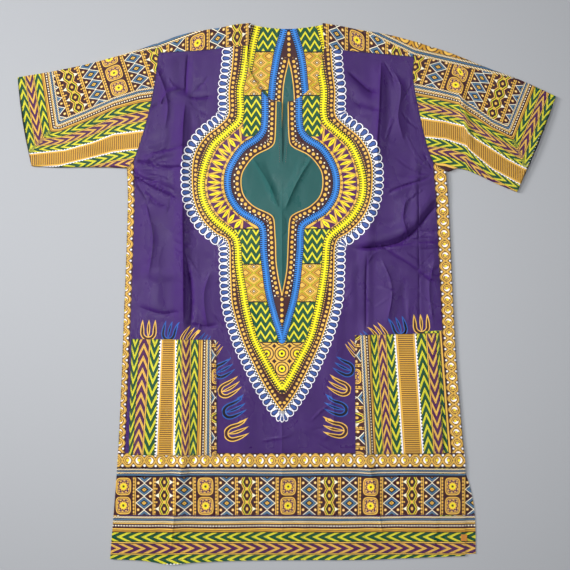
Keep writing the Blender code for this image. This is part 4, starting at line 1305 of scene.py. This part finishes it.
def replace_nodes(item, slot, *nodes):
    """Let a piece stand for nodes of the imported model."""
    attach(item, BODY)
    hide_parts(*nodes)


class DASHIKI_OT_stage(bpy.types.Operator):
    """Floor, soft studio light and the camera straight above the shirt"""

    bl_idname = "dashiki.stage"
    bl_label = "Stage"

    def execute(self, context):
        scene = context.scene
        scene.view_settings.view_transform = "Standard"
        bpy.ops.mesh.primitive_grid_add(x_subdivisions=8, y_subdivisions=8, size=16.0,
                                        location=(0.0, 0.0, -0.0001))
        floor = context.object
        floor.name = "floor"
        bpy.ops.object.transform_apply(location=True, rotation=False, scale=False)
        ink = Ink("floor finish")
        tone = tuple(scene.dashiki_colours.floor)
        colour = ink.over(tone, ink.noise(500.0, 2.0) * 0.4, tuple(value * 0.86 for value in tone))
        ink.feed(ink.shader.inputs["Base Color"], colour)
        ink.shader.inputs["Roughness"].default_value = 0.85
        floor.data.materials.append(ink.material)
        # The low key light shapes the creases. Kept out of reflections, it leaves no glare on the cloth.
        key = self.add_light("key light", (-2.85, 1.0, 1.36), 0.8, 21.0)
        key.visible_glossy = False
        self.add_light("sheen light", (-1.75, 0.75, 2.1), 0.5, 5.5)
        self.add_light("top light", (-0.34, 0.70, 2.4), 0.4, 1.9)
        self.add_light("side light", (0.60, 0.12, 2.3), 0.3, 2.5)
        world = bpy.data.worlds.new("studio")
        scene.world = world
        world.use_nodes = True
        background = world.node_tree.nodes["Background"]
        background.inputs["Color"].default_value = (0.93, 0.96, 1.0, 1.0)
        background.inputs["Strength"].default_value = 0.16
        camera_data = bpy.data.cameras.new("camera")
        camera_data.lens = 50.0
        camera_data.sensor_width = 36.0
        camera_data.clip_start = 0.01
        camera = bpy.data.objects.new("camera", camera_data)
        camera.location = (-0.0028, 0.0142, 0.912 * 50.0 / 36.0 + 0.004)
        scene.collection.objects.link(camera)
        scene.camera = camera
        return {"FINISHED"}

    def add_light(self, name, place, size, power):
        """Square soft light that points at the middle of the shirt."""
        light = bpy.data.lights.new(name, "AREA")
        light.shape = "SQUARE"
        light.size = size
        light.spread = math.radians(80.0)
        light.energy = power
        lamp = bpy.data.objects.new(name, light)
        lamp.location = place
        lamp.rotation_euler = (-Vector(place)).to_track_quat("-Z", "Y").to_euler()
        bpy.context.scene.collection.objects.link(lamp)
        return lamp


class DASHIKI_OT_front(bpy.types.Operator):
    """Front panel with its creases and printed medallion"""

    bl_idname = "dashiki.front"
    bl_label = "Front Panel"

    def execute(self, context):
        sizes, tones = context.scene.dashiki_sizes, context.scene.dashiki_colours
        step = sizes.cloth_step / MM
        outline = front_outline(step)
        edge = numpy.vstack((outline, outline[:1]))
        kept = [numpy.array([(AXIS_X, y) for y in numpy.arange(196.0, -420.0, -step)])]
        for fold in PRESSED_CREASES:
            if abs(fold.path[0].x - AXIS_X) < 2.0 and abs(fold.path[-1].x - AXIS_X) < 2.0:
                continue
            run = smooth_run(fold.path, step)
            kept.append(run[inside(run, outline) & (nearest_on_run(run, edge)[0] > step)])
        corners, faces = filled(outline, kept, lattice(outline, step, kept))
        places = printed(corners)
        places["sides"] = side_print(corners)
        places["flames"] = flame_print(corners)
        places["creases"] = crease_print(corners, PRESSED_CREASES + tuple(hairlines(sizes.wave_seed)))
        places["edges"] = edge_print(corners, outline)
        centres = corners[numpy.array([face[:3] for face in faces])].mean(1)
        reach = numpy.array([places["outer_lines"][list(face[:3]), 0].min() for face in faces])
        zones = numpy.where(reach < MEDALLION_REACH, 0, numpy.where(centres[:, 1] < HEM_TOP_Y + 8.0, 2, 1))
        points = numpy.column_stack((corners, front_top(corners, sizes)))
        finishes = [medallion_cotton(tones), ground_cotton(tones), hem_cotton(tones)]
        item = sheet_object("front_cloth", points, faces, places, finishes, zones)
        give_thickness(item, sizes.cloth_thickness)
        replace_nodes(item, "front_cloth", "front_panel")
        return {"FINISHED"}


class DASHIKI_OT_back(bpy.types.Operator):
    """Back panel that lies flat, with its shoulder pieces folded over to the front"""

    bl_idname = "dashiki.back"
    bl_label = "Back Panel"

    def execute(self, context):
        sizes, tones = context.scene.dashiki_sizes, context.scene.dashiki_colours
        step = sizes.back_step / MM
        shoulders = [self.shoulder_rows(side, step) for side in (-1.0, 1.0)]
        left, right = shoulders
        neck_start, neck_end = right[0][0], left[0][0]
        shares = numpy.arange(1, 24) / 24.0
        neck = neck_start + (neck_end - neck_start) * shares[:, None]
        neck[:, 1] -= BACK_NECK_DIP * numpy.sin(math.pi * shares)
        runs = (
            [row[0] for row in left],
            smooth_run(ARMHOLE_LEFT, step)[1:],
            smooth_run(SIDE_LEFT, step)[1:-1],
            smooth_run(BACK_HEM, step),
            smooth_run(BACK_SIDE_RIGHT, step)[-2:0:-1],
            smooth_run(ARMHOLE_RIGHT, step)[:0:-1],
            [row[0] for row in reversed(right)],
            neck,
        )
        outline = numpy.vstack([numpy.asarray(run) for run in runs])
        axis = numpy.array([(INSIDE_AXIS_X, y) for y in numpy.arange(416.0, 200.0, -step)])
        corners, faces = filled(outline, [axis], lattice(outline, step, [axis]))
        lift = waves(corners, sizes.wave_seed + 40) * 0.15 - 0.15
        points = [(x, y, WALL + rise) for (x, y), rise in zip(corners, lift)]
        faces = [list(face) for face in faces]
        zones = [2 if max(corners[index][1] for index in face) < BACK_PRINT_Y else 0 for face in faces]
        for rows in shoulders:
            strips = []
            for centre, curl in rows:
                gap = numpy.hypot(*(corners - centre).T)
                root = int(gap.argmin())
                first = len(points)
                points.extend(curl)
                strips.append([root] + list(range(first, len(points))))
            for before, after in zip(strips, strips[1:]):
                for index in range(len(before) - 1):
                    face = [before[index], after[index], after[index + 1], before[index + 1]]
                    faces.append(face)
                    zones.append(1)
        points = numpy.array(points)
        places = printed(points[:, :2], INSIDE_AXIS_X, INSIDE_TURN_Y)
        low = points[:, 1] < BACK_PRINT_Y
        places["place"][low] = printed(points[low, :2])["place"]
        places["sides"] = numpy.tile((90.0, 0.0, -90.0), (len(points), 1))
        left_half = points[:, 0] < 0
        for label in ("border", "panel"):
            pair = [strip_print(points[:, :2], side)[label] for side in (-1.0, 1.0)]
            places[label] = numpy.where(left_half[:, None], pair[0], pair[1])
        finishes = [medallion_cotton(tones), sleeve_cotton(tones, "shoulder cotton"), hem_cotton(tones)]
        item = sheet_object("back_cloth", points, faces, places, finishes, zones)
        shape = bmesh.new()
        shape.from_mesh(item.data)
        bmesh.ops.recalc_face_normals(shape, faces=shape.faces[:])
        heart = Vector((0.0, 0.0, 0.001))
        middle = min(shape.faces, key=lambda face: (face.calc_center_median() - heart).length)
        if middle.normal.z < 0:
            bmesh.ops.reverse_faces(shape, faces=shape.faces[:])
        shape.to_mesh(item.data)
        shape.free()
        give_thickness(item, sizes.cloth_thickness)
        replace_nodes(item, "back_cloth", "back_panel")
        return {"FINISHED"}

    def shoulder_rows(self, side, step):
        """For points along one shoulder: where the fold starts on the back, and the curl over it."""
        shoulder, seam = (SHOULDER_LEFT, SEAM_LEFT) if side < 0 else (SHOULDER_RIGHT, SEAM_RIGHT)
        outer, feet = smooth_run(shoulder), smooth_run(seam, step)
        shares = numpy.linspace(0.0, 1.0, len(feet))
        edges = along(outer, shares)
        low, high = WALL, FOLD_EDGE_RISE + 0.6
        bend, count = 1.8, 10
        rows = []
        for share, foot, edge in zip(shares, feet, edges):
            square = (edge - foot) / numpy.hypot(*(edge - foot))
            outward = (1.0 - share) * numpy.array((0.0, 1.0)) + share * square
            outward /= numpy.hypot(*outward)
            centre = edge - outward * (bend + 0.6)
            curl = []
            for turn in numpy.linspace(0.0, math.pi, 9)[1:-1]:
                spot = centre + outward * bend * math.sin(turn)
                curl.append((*spot, (low + high) / 2.0 - (high - low) / 2.0 * math.cos(turn)))
            for index in range(count + 1):
                spot = centre + (foot - centre) * index / count
                curl.append((*spot, high))
            rows.append((centre, curl))
        return rows


def height_on(line, xs):
    """Height of a line of the print at places across."""
    return numpy.interp(xs, [x for x, _ in line], [y for _, y in line])


def shoulder_rope(spots, side):
    """Distance above the rope that runs over one shoulder."""
    line = SHOULDER_ROPE_LEFT if side < 0 else SHOULDER_ROPE_RIGHT
    return spots[:, 1] - height_on(line, spots[:, 0])


def strip_print(spots, side):
    """Places on the print of one shoulder piece."""
    middle, lean, base = (-142.8, 0.38, 401.4) if side < 0 else (112.4, -0.46, 406.0)
    across = (spots[:, 0] - middle) * 1.04
    up = 46.4 + (spots[:, 1] - base - lean * (spots[:, 0] - middle))
    above = shoulder_rope(spots, side)
    flat = numpy.full(len(spots), -40.0)
    return {
        "border": numpy.stack((flat, across, above), -1),
        "panel": numpy.stack((across, up, above), -1),
    }


def sleeve_print(spots, rows, side):
    """Places on the print of one sleeve: the border round its panels, and the panels."""
    if side < 0:
        frame, top, foot = FRAME_LEFT, LADDER_TOP_LEFT, LADDER_FOOT_LEFT
    else:
        frame, top, foot = FRAME_RIGHT, LADDER_TOP_RIGHT, LADDER_FOOT_RIGHT
    x, y = spots.T
    first, second, third = (height_on(line, x) for line in (frame, top, foot))
    q_row = numpy.where(y > first, (first - y) / 0.86,
                        numpy.where(y > second, 66.0 * (first - y) / (first - second),
                                    numpy.where(y > third, 66.0 + 29.0 * (second - y) / (second - third),
                                                95.0 + (third - y) / 0.76)))
    last = rows[-1]
    share = (y - last.under_y) / (last.top_y - last.under_y)
    cuff = last.under_x + (last.top_x - last.under_x) * share
    from_cuff = (x - cuff) * -side
    rope = CUFF_ROPE_LEFT if side < 0 else CUFF_ROPE_RIGHT
    q_column = numpy.minimum((rope - from_cuff) / 0.76, 65.4)
    ladder = q_row > 66.0
    column = (q_column > q_row) & ~ladder
    q = numpy.where(column, q_column, q_row)
    run = numpy.where(column, y * side, x) / 0.88
    middle, lean = (-270.0, 0.33) if side < 0 else (270.0, -0.35)
    span = (x - middle + lean * (y - 334.0)) / 1.13
    up = -q_row - 9.6
    return {
        "border": numpy.stack((q, run, shoulder_rope(spots, side)), -1),
        "panel": numpy.stack((span, up, q_column), -1),
        "edges": numpy.stack((from_cuff, from_cuff, from_cuff), -1),
    }


def pocket_print(spots, columns):
    """Places on the border of one pocket."""
    x, y = spots.T
    fall = (-66.0 - y) / 192.0
    q = numpy.empty(len(x))
    tops, feet, places = (numpy.array(values) for values in zip(*columns))
    for index in range(len(x)):
        q[index] = numpy.interp(x[index], tops + (feet - tops) * fall[index], places)
    side = -1.0 if x.mean() < 0 else 1.0
    return {"border": numpy.stack((q, y * side, fall), -1)}


class DASHIKI_OT_pockets(bpy.types.Operator):
    """Two patch pockets on the front"""

    bl_idname = "dashiki.pockets"
    bl_label = "Pockets"

    def execute(self, context):
        sizes, tones = context.scene.dashiki_sizes, context.scene.dashiki_colours
        cotton = pocket_cotton(tones)
        for name, corners, columns in (("left", POCKET_LEFT, COLUMNS_LEFT),
                                       ("right", POCKET_RIGHT, COLUMNS_RIGHT)):
            foot_in, top_out, top_in, foot_out = [numpy.array(corner) for corner in corners]
            across, up = 44, 60
            spots = []
            for row in range(up + 1):
                start = foot_in + (top_out - foot_in) * row / up
                end = foot_out + (top_in - foot_out) * row / up
                spots.extend(start + (end - start) * column / across for column in range(across + 1))
            spots = numpy.array(spots)
            top = front_top(spots, sizes) + GAP + POCKET_LIFT
            places = pocket_print(spots, columns)
            places["edges"] = edge_print(spots, numpy.array([foot_in, top_out, top_in, foot_out]))
            item = sheet_object(f"pocket_{name}_cloth", numpy.column_stack((spots, top)),
                                grid_faces(up + 1, across + 1), places, [cotton])
            give_thickness(item, sizes.cloth_thickness)
            replace_nodes(item, "pocket_cloth", f"pocket_{name}")
        return {"FINISHED"}


class DASHIKI_OT_sleeves(bpy.types.Operator):
    """Two short sleeves, flattened tubes with their folds"""

    bl_idname = "dashiki.sleeves"
    bl_label = "Sleeves"

    def execute(self, context):
        sizes, tones = context.scene.dashiki_sizes, context.scene.dashiki_colours
        cotton = sleeve_cotton(tones)
        for name, rows, folds, side, area in (("left", SLEEVE_LEFT_ROWS, SLEEVE_LEFT_FOLDS, -1.0, 0.0665),
                                              ("right", SLEEVE_RIGHT_ROWS, SLEEVE_RIGHT_FOLDS, 1.0, 0.0688)):
            points, faces = self.tube(rows, folds, side, sizes)
            places = sleeve_print(points[:, :2], rows, side)
            item = sheet_object(f"sleeve_{name}_cloth", points, faces, places, [cotton])
            self.turn_outwards(item)
            give_thickness(item, sizes.cloth_thickness)
            replace_nodes(item, "sleeve_cloth", f"sleeve_{name}")
        return {"FINISHED"}

    def tube(self, rows, folds, side, sizes):
        """Points and faces of a flattened tube, ring by ring from the armhole to the cuff."""
        hole = armhole(side, GAP / 2.0)
        hole[0, 0] += side * CORNER_CLEARANCE
        hole[-1, 0] += side * CORNER_CLEARANCE
        top_run = smooth_run([Point(row.top_x, row.top_y) for row in rows])
        under_run = smooth_run([Point(row.under_x, row.under_y) for row in rows])
        cuff_top, cuff_under = top_run[-1], under_run[-1]
        out = numpy.array((cuff_top[1] - cuff_under[1], cuff_under[0] - cuff_top[0]))
        out /= numpy.hypot(*out)
        out *= numpy.sign(out[0] * cuff_top[0])
        low, high = 0.0, FOLD_EDGE_RISE + WALL
        radius = (high - low) / 2.0
        stations, count, bends = 58, 50, 7
        shares = numpy.linspace(0.0, 1.0, count)
        rings = []
        for station in range(stations):
            share = station / (stations - 1)

            def at(fractions):
                held = numpy.asarray(fractions)[:, None]
                start = along(hole, fractions)
                cuff = cuff_top + (cuff_under - cuff_top) * held + out * CUFF_BOW * numpy.sin(math.pi * held)
                ruled = start + (cuff - start) * share
                grow = ease(share * 8.0)
                lift_top = along(top_run, [share])[0] - hole[0] - (cuff_top - hole[0]) * share
                lift_under = along(under_run, [share])[0] - hole[-1] - (cuff_under - hole[-1]) * share
                return ruled + lift_top * grow * (1.0 - held) + lift_under * grow * held

            length = numpy.hypot(*numpy.diff(at(shares), axis=0).T).sum()
            inset = radius / length
            held = inset + (1.0 - 2.0 * inset) * shares
            flat = at(held)
            puff = SLEEVE_PUFF * numpy.sin(math.pi * held) * ease(share / SLEEVE_PUFF_REACH)
            rise = high + puff + fold_height(flat, folds)
            rise += waves(flat, sizes.wave_seed + 11) * sizes.crumple / MM * numpy.sin(math.pi * held)
            under_way = flat[-1] - flat[-2]
            under_way /= numpy.hypot(*under_way)
            top_way = flat[0] - flat[1]
            top_way /= numpy.hypot(*top_way)
            turns = numpy.linspace(0.0, math.pi, bends + 2)[1:-1]
            ring = [(*spot, low) for spot in flat]
            ring += [(*(flat[-1] + under_way * radius * math.sin(turn)), radius - radius * math.cos(turn))
                     for turn in turns]
            ring += [(*spot, lift) for spot, lift in zip(flat[::-1], rise[::-1])]
            ring += [(*(flat[0] + top_way * radius * math.sin(turn)), radius + radius * math.cos(turn))
                     for turn in turns]
            rings.append(ring)
        wide = len(rings[0])
        faces = [(ring * wide + place, ring * wide + (place + 1) % wide,
                  (ring + 1) * wide + (place + 1) % wide, (ring + 1) * wide + place)
                 for ring in range(stations - 1) for place in range(wide)]
        return numpy.array([point for ring in rings for point in ring]), faces

    def turn_outwards(self, item):
        """Make the faces of a tube look out of it."""
        shape = bmesh.new()
        shape.from_mesh(item.data)
        highest = max(shape.faces, key=lambda face: face.calc_center_median().z)
        if highest.normal.z < 0:
            bmesh.ops.reverse_faces(shape, faces=shape.faces[:])
        shape.to_mesh(item.data)
        shape.free()


class DASHIKI_OT_stitches(bpy.types.Operator):
    """Rows of stitches on the pockets, neck, slit, cuffs and hem"""

    bl_idname = "dashiki.stitches"
    bl_label = "Stitches"

    def execute(self, context):
        sizes, tones = context.scene.dashiki_sizes, context.scene.dashiki_colours
        stitch, faces = self.one_stitch(sizes.stitch_length)
        thread = plain_cotton("sewing thread", tuple(tones.thread), 0.5)
        inset = HEM_TURN - STITCH_INSET
        slit = [numpy.array((NECK_LEFT[-1], SLIT_END)), numpy.array((SLIT_END, NECK_RIGHT[0]))]
        steps = numpy.linspace(0.04, 0.96, 24)
        neck = [numpy.vstack((smooth_run(NECK_LEFT, 4.0), along(slit[0], steps))),
                numpy.vstack((along(slit[1], steps), smooth_run(NECK_RIGHT, 4.0)))]
        rows = [("stitches_neck", "front_cloth", [shifted(run, -4.5) for run in neck]),
                ("stitches_hem", "front_cloth", [shifted(smooth_run(FRONT_HEM, 4.0), inset)])]
        for name, corners in (("left", POCKET_LEFT), ("right", POCKET_RIGHT)):
            low_out, high_out, high_in, low_in = [numpy.array(corner) for corner in corners]
            middle = (low_out + high_in) / 2.0
            inner = [middle + (corner - middle) * (1.0 - 2.4 / 72.0)
                     for corner in (high_out, low_out, low_in, high_in)]
            top = along(numpy.array([high_out, high_in]) - (0.0, inset), (0.02, 0.98))
            rows.append((f"stitches_pocket_{name}", f"pocket_{name}_cloth",
                         [numpy.array(pair) for pair in (inner[:2], inner[1:3], inner[2:], top)]))
        for name, cuffs in (("left", SLEEVE_LEFT_ROWS), ("right", SLEEVE_RIGHT_ROWS)):
            last = cuffs[-1]
            ends = numpy.array([(last.top_x, last.top_y), (last.under_x, last.under_y)])
            ends[:, 0] -= numpy.sign(last.top_x) * (inset + 1.0)
            rows.append((f"stitches_cuff_{name}", f"sleeve_{name}_cloth", [along(ends, (0.03, 0.97))]))
        for name, cloth, runs in rows:
            points, all_faces = self.sewn(runs, cloth, stitch, faces, sizes.stitch_pitch / MM)
            item = sheet_object(name, points, all_faces, {}, [thread])
            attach(item, BODY)
        return {"FINISHED"}

    def one_stitch(self, length):
        """Points in millimetres and faces of one stitch, thick in the middle."""
        deselect_all()
        bpy.ops.mesh.primitive_uv_sphere_add(segments=6, ring_count=4, radius=0.5,
                                             rotation=(0.0, math.pi / 2.0, 0.0))
        sample = bpy.context.object
        bpy.ops.object.transform_apply(location=False, rotation=True, scale=False)
        bpy.ops.object.mode_set(mode="EDIT")
        bpy.ops.mesh.select_all(action="SELECT")
        bpy.ops.transform.resize(value=(length / MM, 0.55, 0.45))
        bpy.ops.object.mode_set(mode="OBJECT")
        points = numpy.array([tuple(vertex.co) for vertex in sample.data.vertices])
        faces = [tuple(face.vertices) for face in sample.data.polygons]
        bpy.data.objects.remove(sample, do_unlink=True)
        return points, faces

    def sewn(self, runs, cloth, stitch, faces, pitch):
        """Copies of the stitch along runs, laid on a cloth's upper face."""
        graph = bpy.context.evaluated_depsgraph_get()
        surface = BVHTree.FromObject(bpy.data.objects[cloth], graph)
        points, all_faces = [], []
        for run in runs:
            count = max(2, int(walked(run)[-1] / pitch))
            spots = along(run, (numpy.arange(count) + 0.5) / count)
            ahead = numpy.gradient(spots, axis=0)
            for spot, way in zip(spots, ahead):
                hit, normal, _, _ = surface.ray_cast(Vector((*(spot * MM), 0.1)), Vector((0.0, 0.0, -1.0)))
                if hit is None:
                    continue
                along_x = Vector((*way, 0.0)).normalized()
                up = normal if normal.z > 0.0 else -normal
                along_x = (along_x - up * along_x.dot(up)).normalized()
                across = up.cross(along_x)
                turn = numpy.array((along_x, across, up))
                first = len(points)
                points.extend(stitch @ turn + numpy.array(hit) / MM)
                all_faces.extend(tuple(first + corner for corner in face) for face in faces)
        return numpy.array(points), all_faces


class DASHIKI_OT_tag(bpy.types.Operator):
    """Small folded tape, sewn on at the side vent"""

    bl_idname = "dashiki.tag"
    bl_label = "Hem Tag"

    def execute(self, context):
        low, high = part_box("hem_tag")
        left, right = low[0] / MM, high[0] / MM
        foot, top = low[1] / MM, high[1] / MM
        rise = low[2] / MM
        loop = [(top, 0.45), (foot + 0.6, 0.45)]
        loop += [(foot + 0.5 - 0.5 * math.sin(turn), 0.85 - 0.4 * math.cos(turn))
                 for turn in numpy.linspace(0.2, math.pi - 0.2, 7)]
        loop += [(foot + 0.6, 1.25), (top, 1.25)]
        columns = numpy.linspace(left, right, 9)
        points = [(x, y, rise + z + 0.12 * math.sin((x - left) * 0.9)) for y, z in loop for x in columns]
        tape = plain_cotton("tape", tuple(context.scene.dashiki_colours.tag), 0.62)
        item = sheet_object("hem_tag_tape", points, grid_faces(len(loop), len(columns)), {}, [tape])
        give_thickness(item, TAPE_THICKNESS)
        replace_nodes(item, "tag_cloth", "hem_tag")
        return {"FINISHED"}


class DASHIKI_PT_panel(bpy.types.Panel):
    """Steps and settings of the shirt"""

    bl_idname = "DASHIKI_PT_panel"
    bl_label = "Dashiki Shirt"
    bl_space_type = "VIEW_3D"
    bl_region_type = "UI"
    bl_category = "Dashiki"

    def draw(self, context):
        layout = self.layout
        for step in STEPS:
            layout.operator(step.bl_idname)
        for group in (context.scene.dashiki_sizes, context.scene.dashiki_colours):
            box = layout.box()
            for name in group.__annotations__:
                box.prop(group, name)


STEPS = (DASHIKI_OT_stage, DASHIKI_OT_back, DASHIKI_OT_front, DASHIKI_OT_sleeves, DASHIKI_OT_pockets,
         DASHIKI_OT_tag, DASHIKI_OT_stitches)
CLASSES = (DashikiSizes, DashikiColours, *STEPS, DASHIKI_PT_panel)


def register():
    """Add the settings, steps and panel."""
    for item in CLASSES:
        bpy.utils.register_class(item)
    bpy.types.Scene.dashiki_sizes = PointerProperty(type=DashikiSizes)
    bpy.types.Scene.dashiki_colours = PointerProperty(type=DashikiColours)


def unregister():
    """Take the settings, steps and panel away."""
    del bpy.types.Scene.dashiki_colours
    del bpy.types.Scene.dashiki_sizes
    for item in reversed(CLASSES):
        bpy.utils.unregister_class(item)


def main():
    """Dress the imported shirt, one step after another."""
    register()
    deselect_all()
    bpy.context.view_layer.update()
    bpy.ops.dashiki.stage()
    bpy.ops.dashiki.back()
    bpy.ops.dashiki.front()
    bpy.ops.dashiki.sleeves()
    bpy.ops.dashiki.pockets()
    bpy.ops.dashiki.tag()
    bpy.ops.dashiki.stitches()


if __name__ == "__main__":
    main()
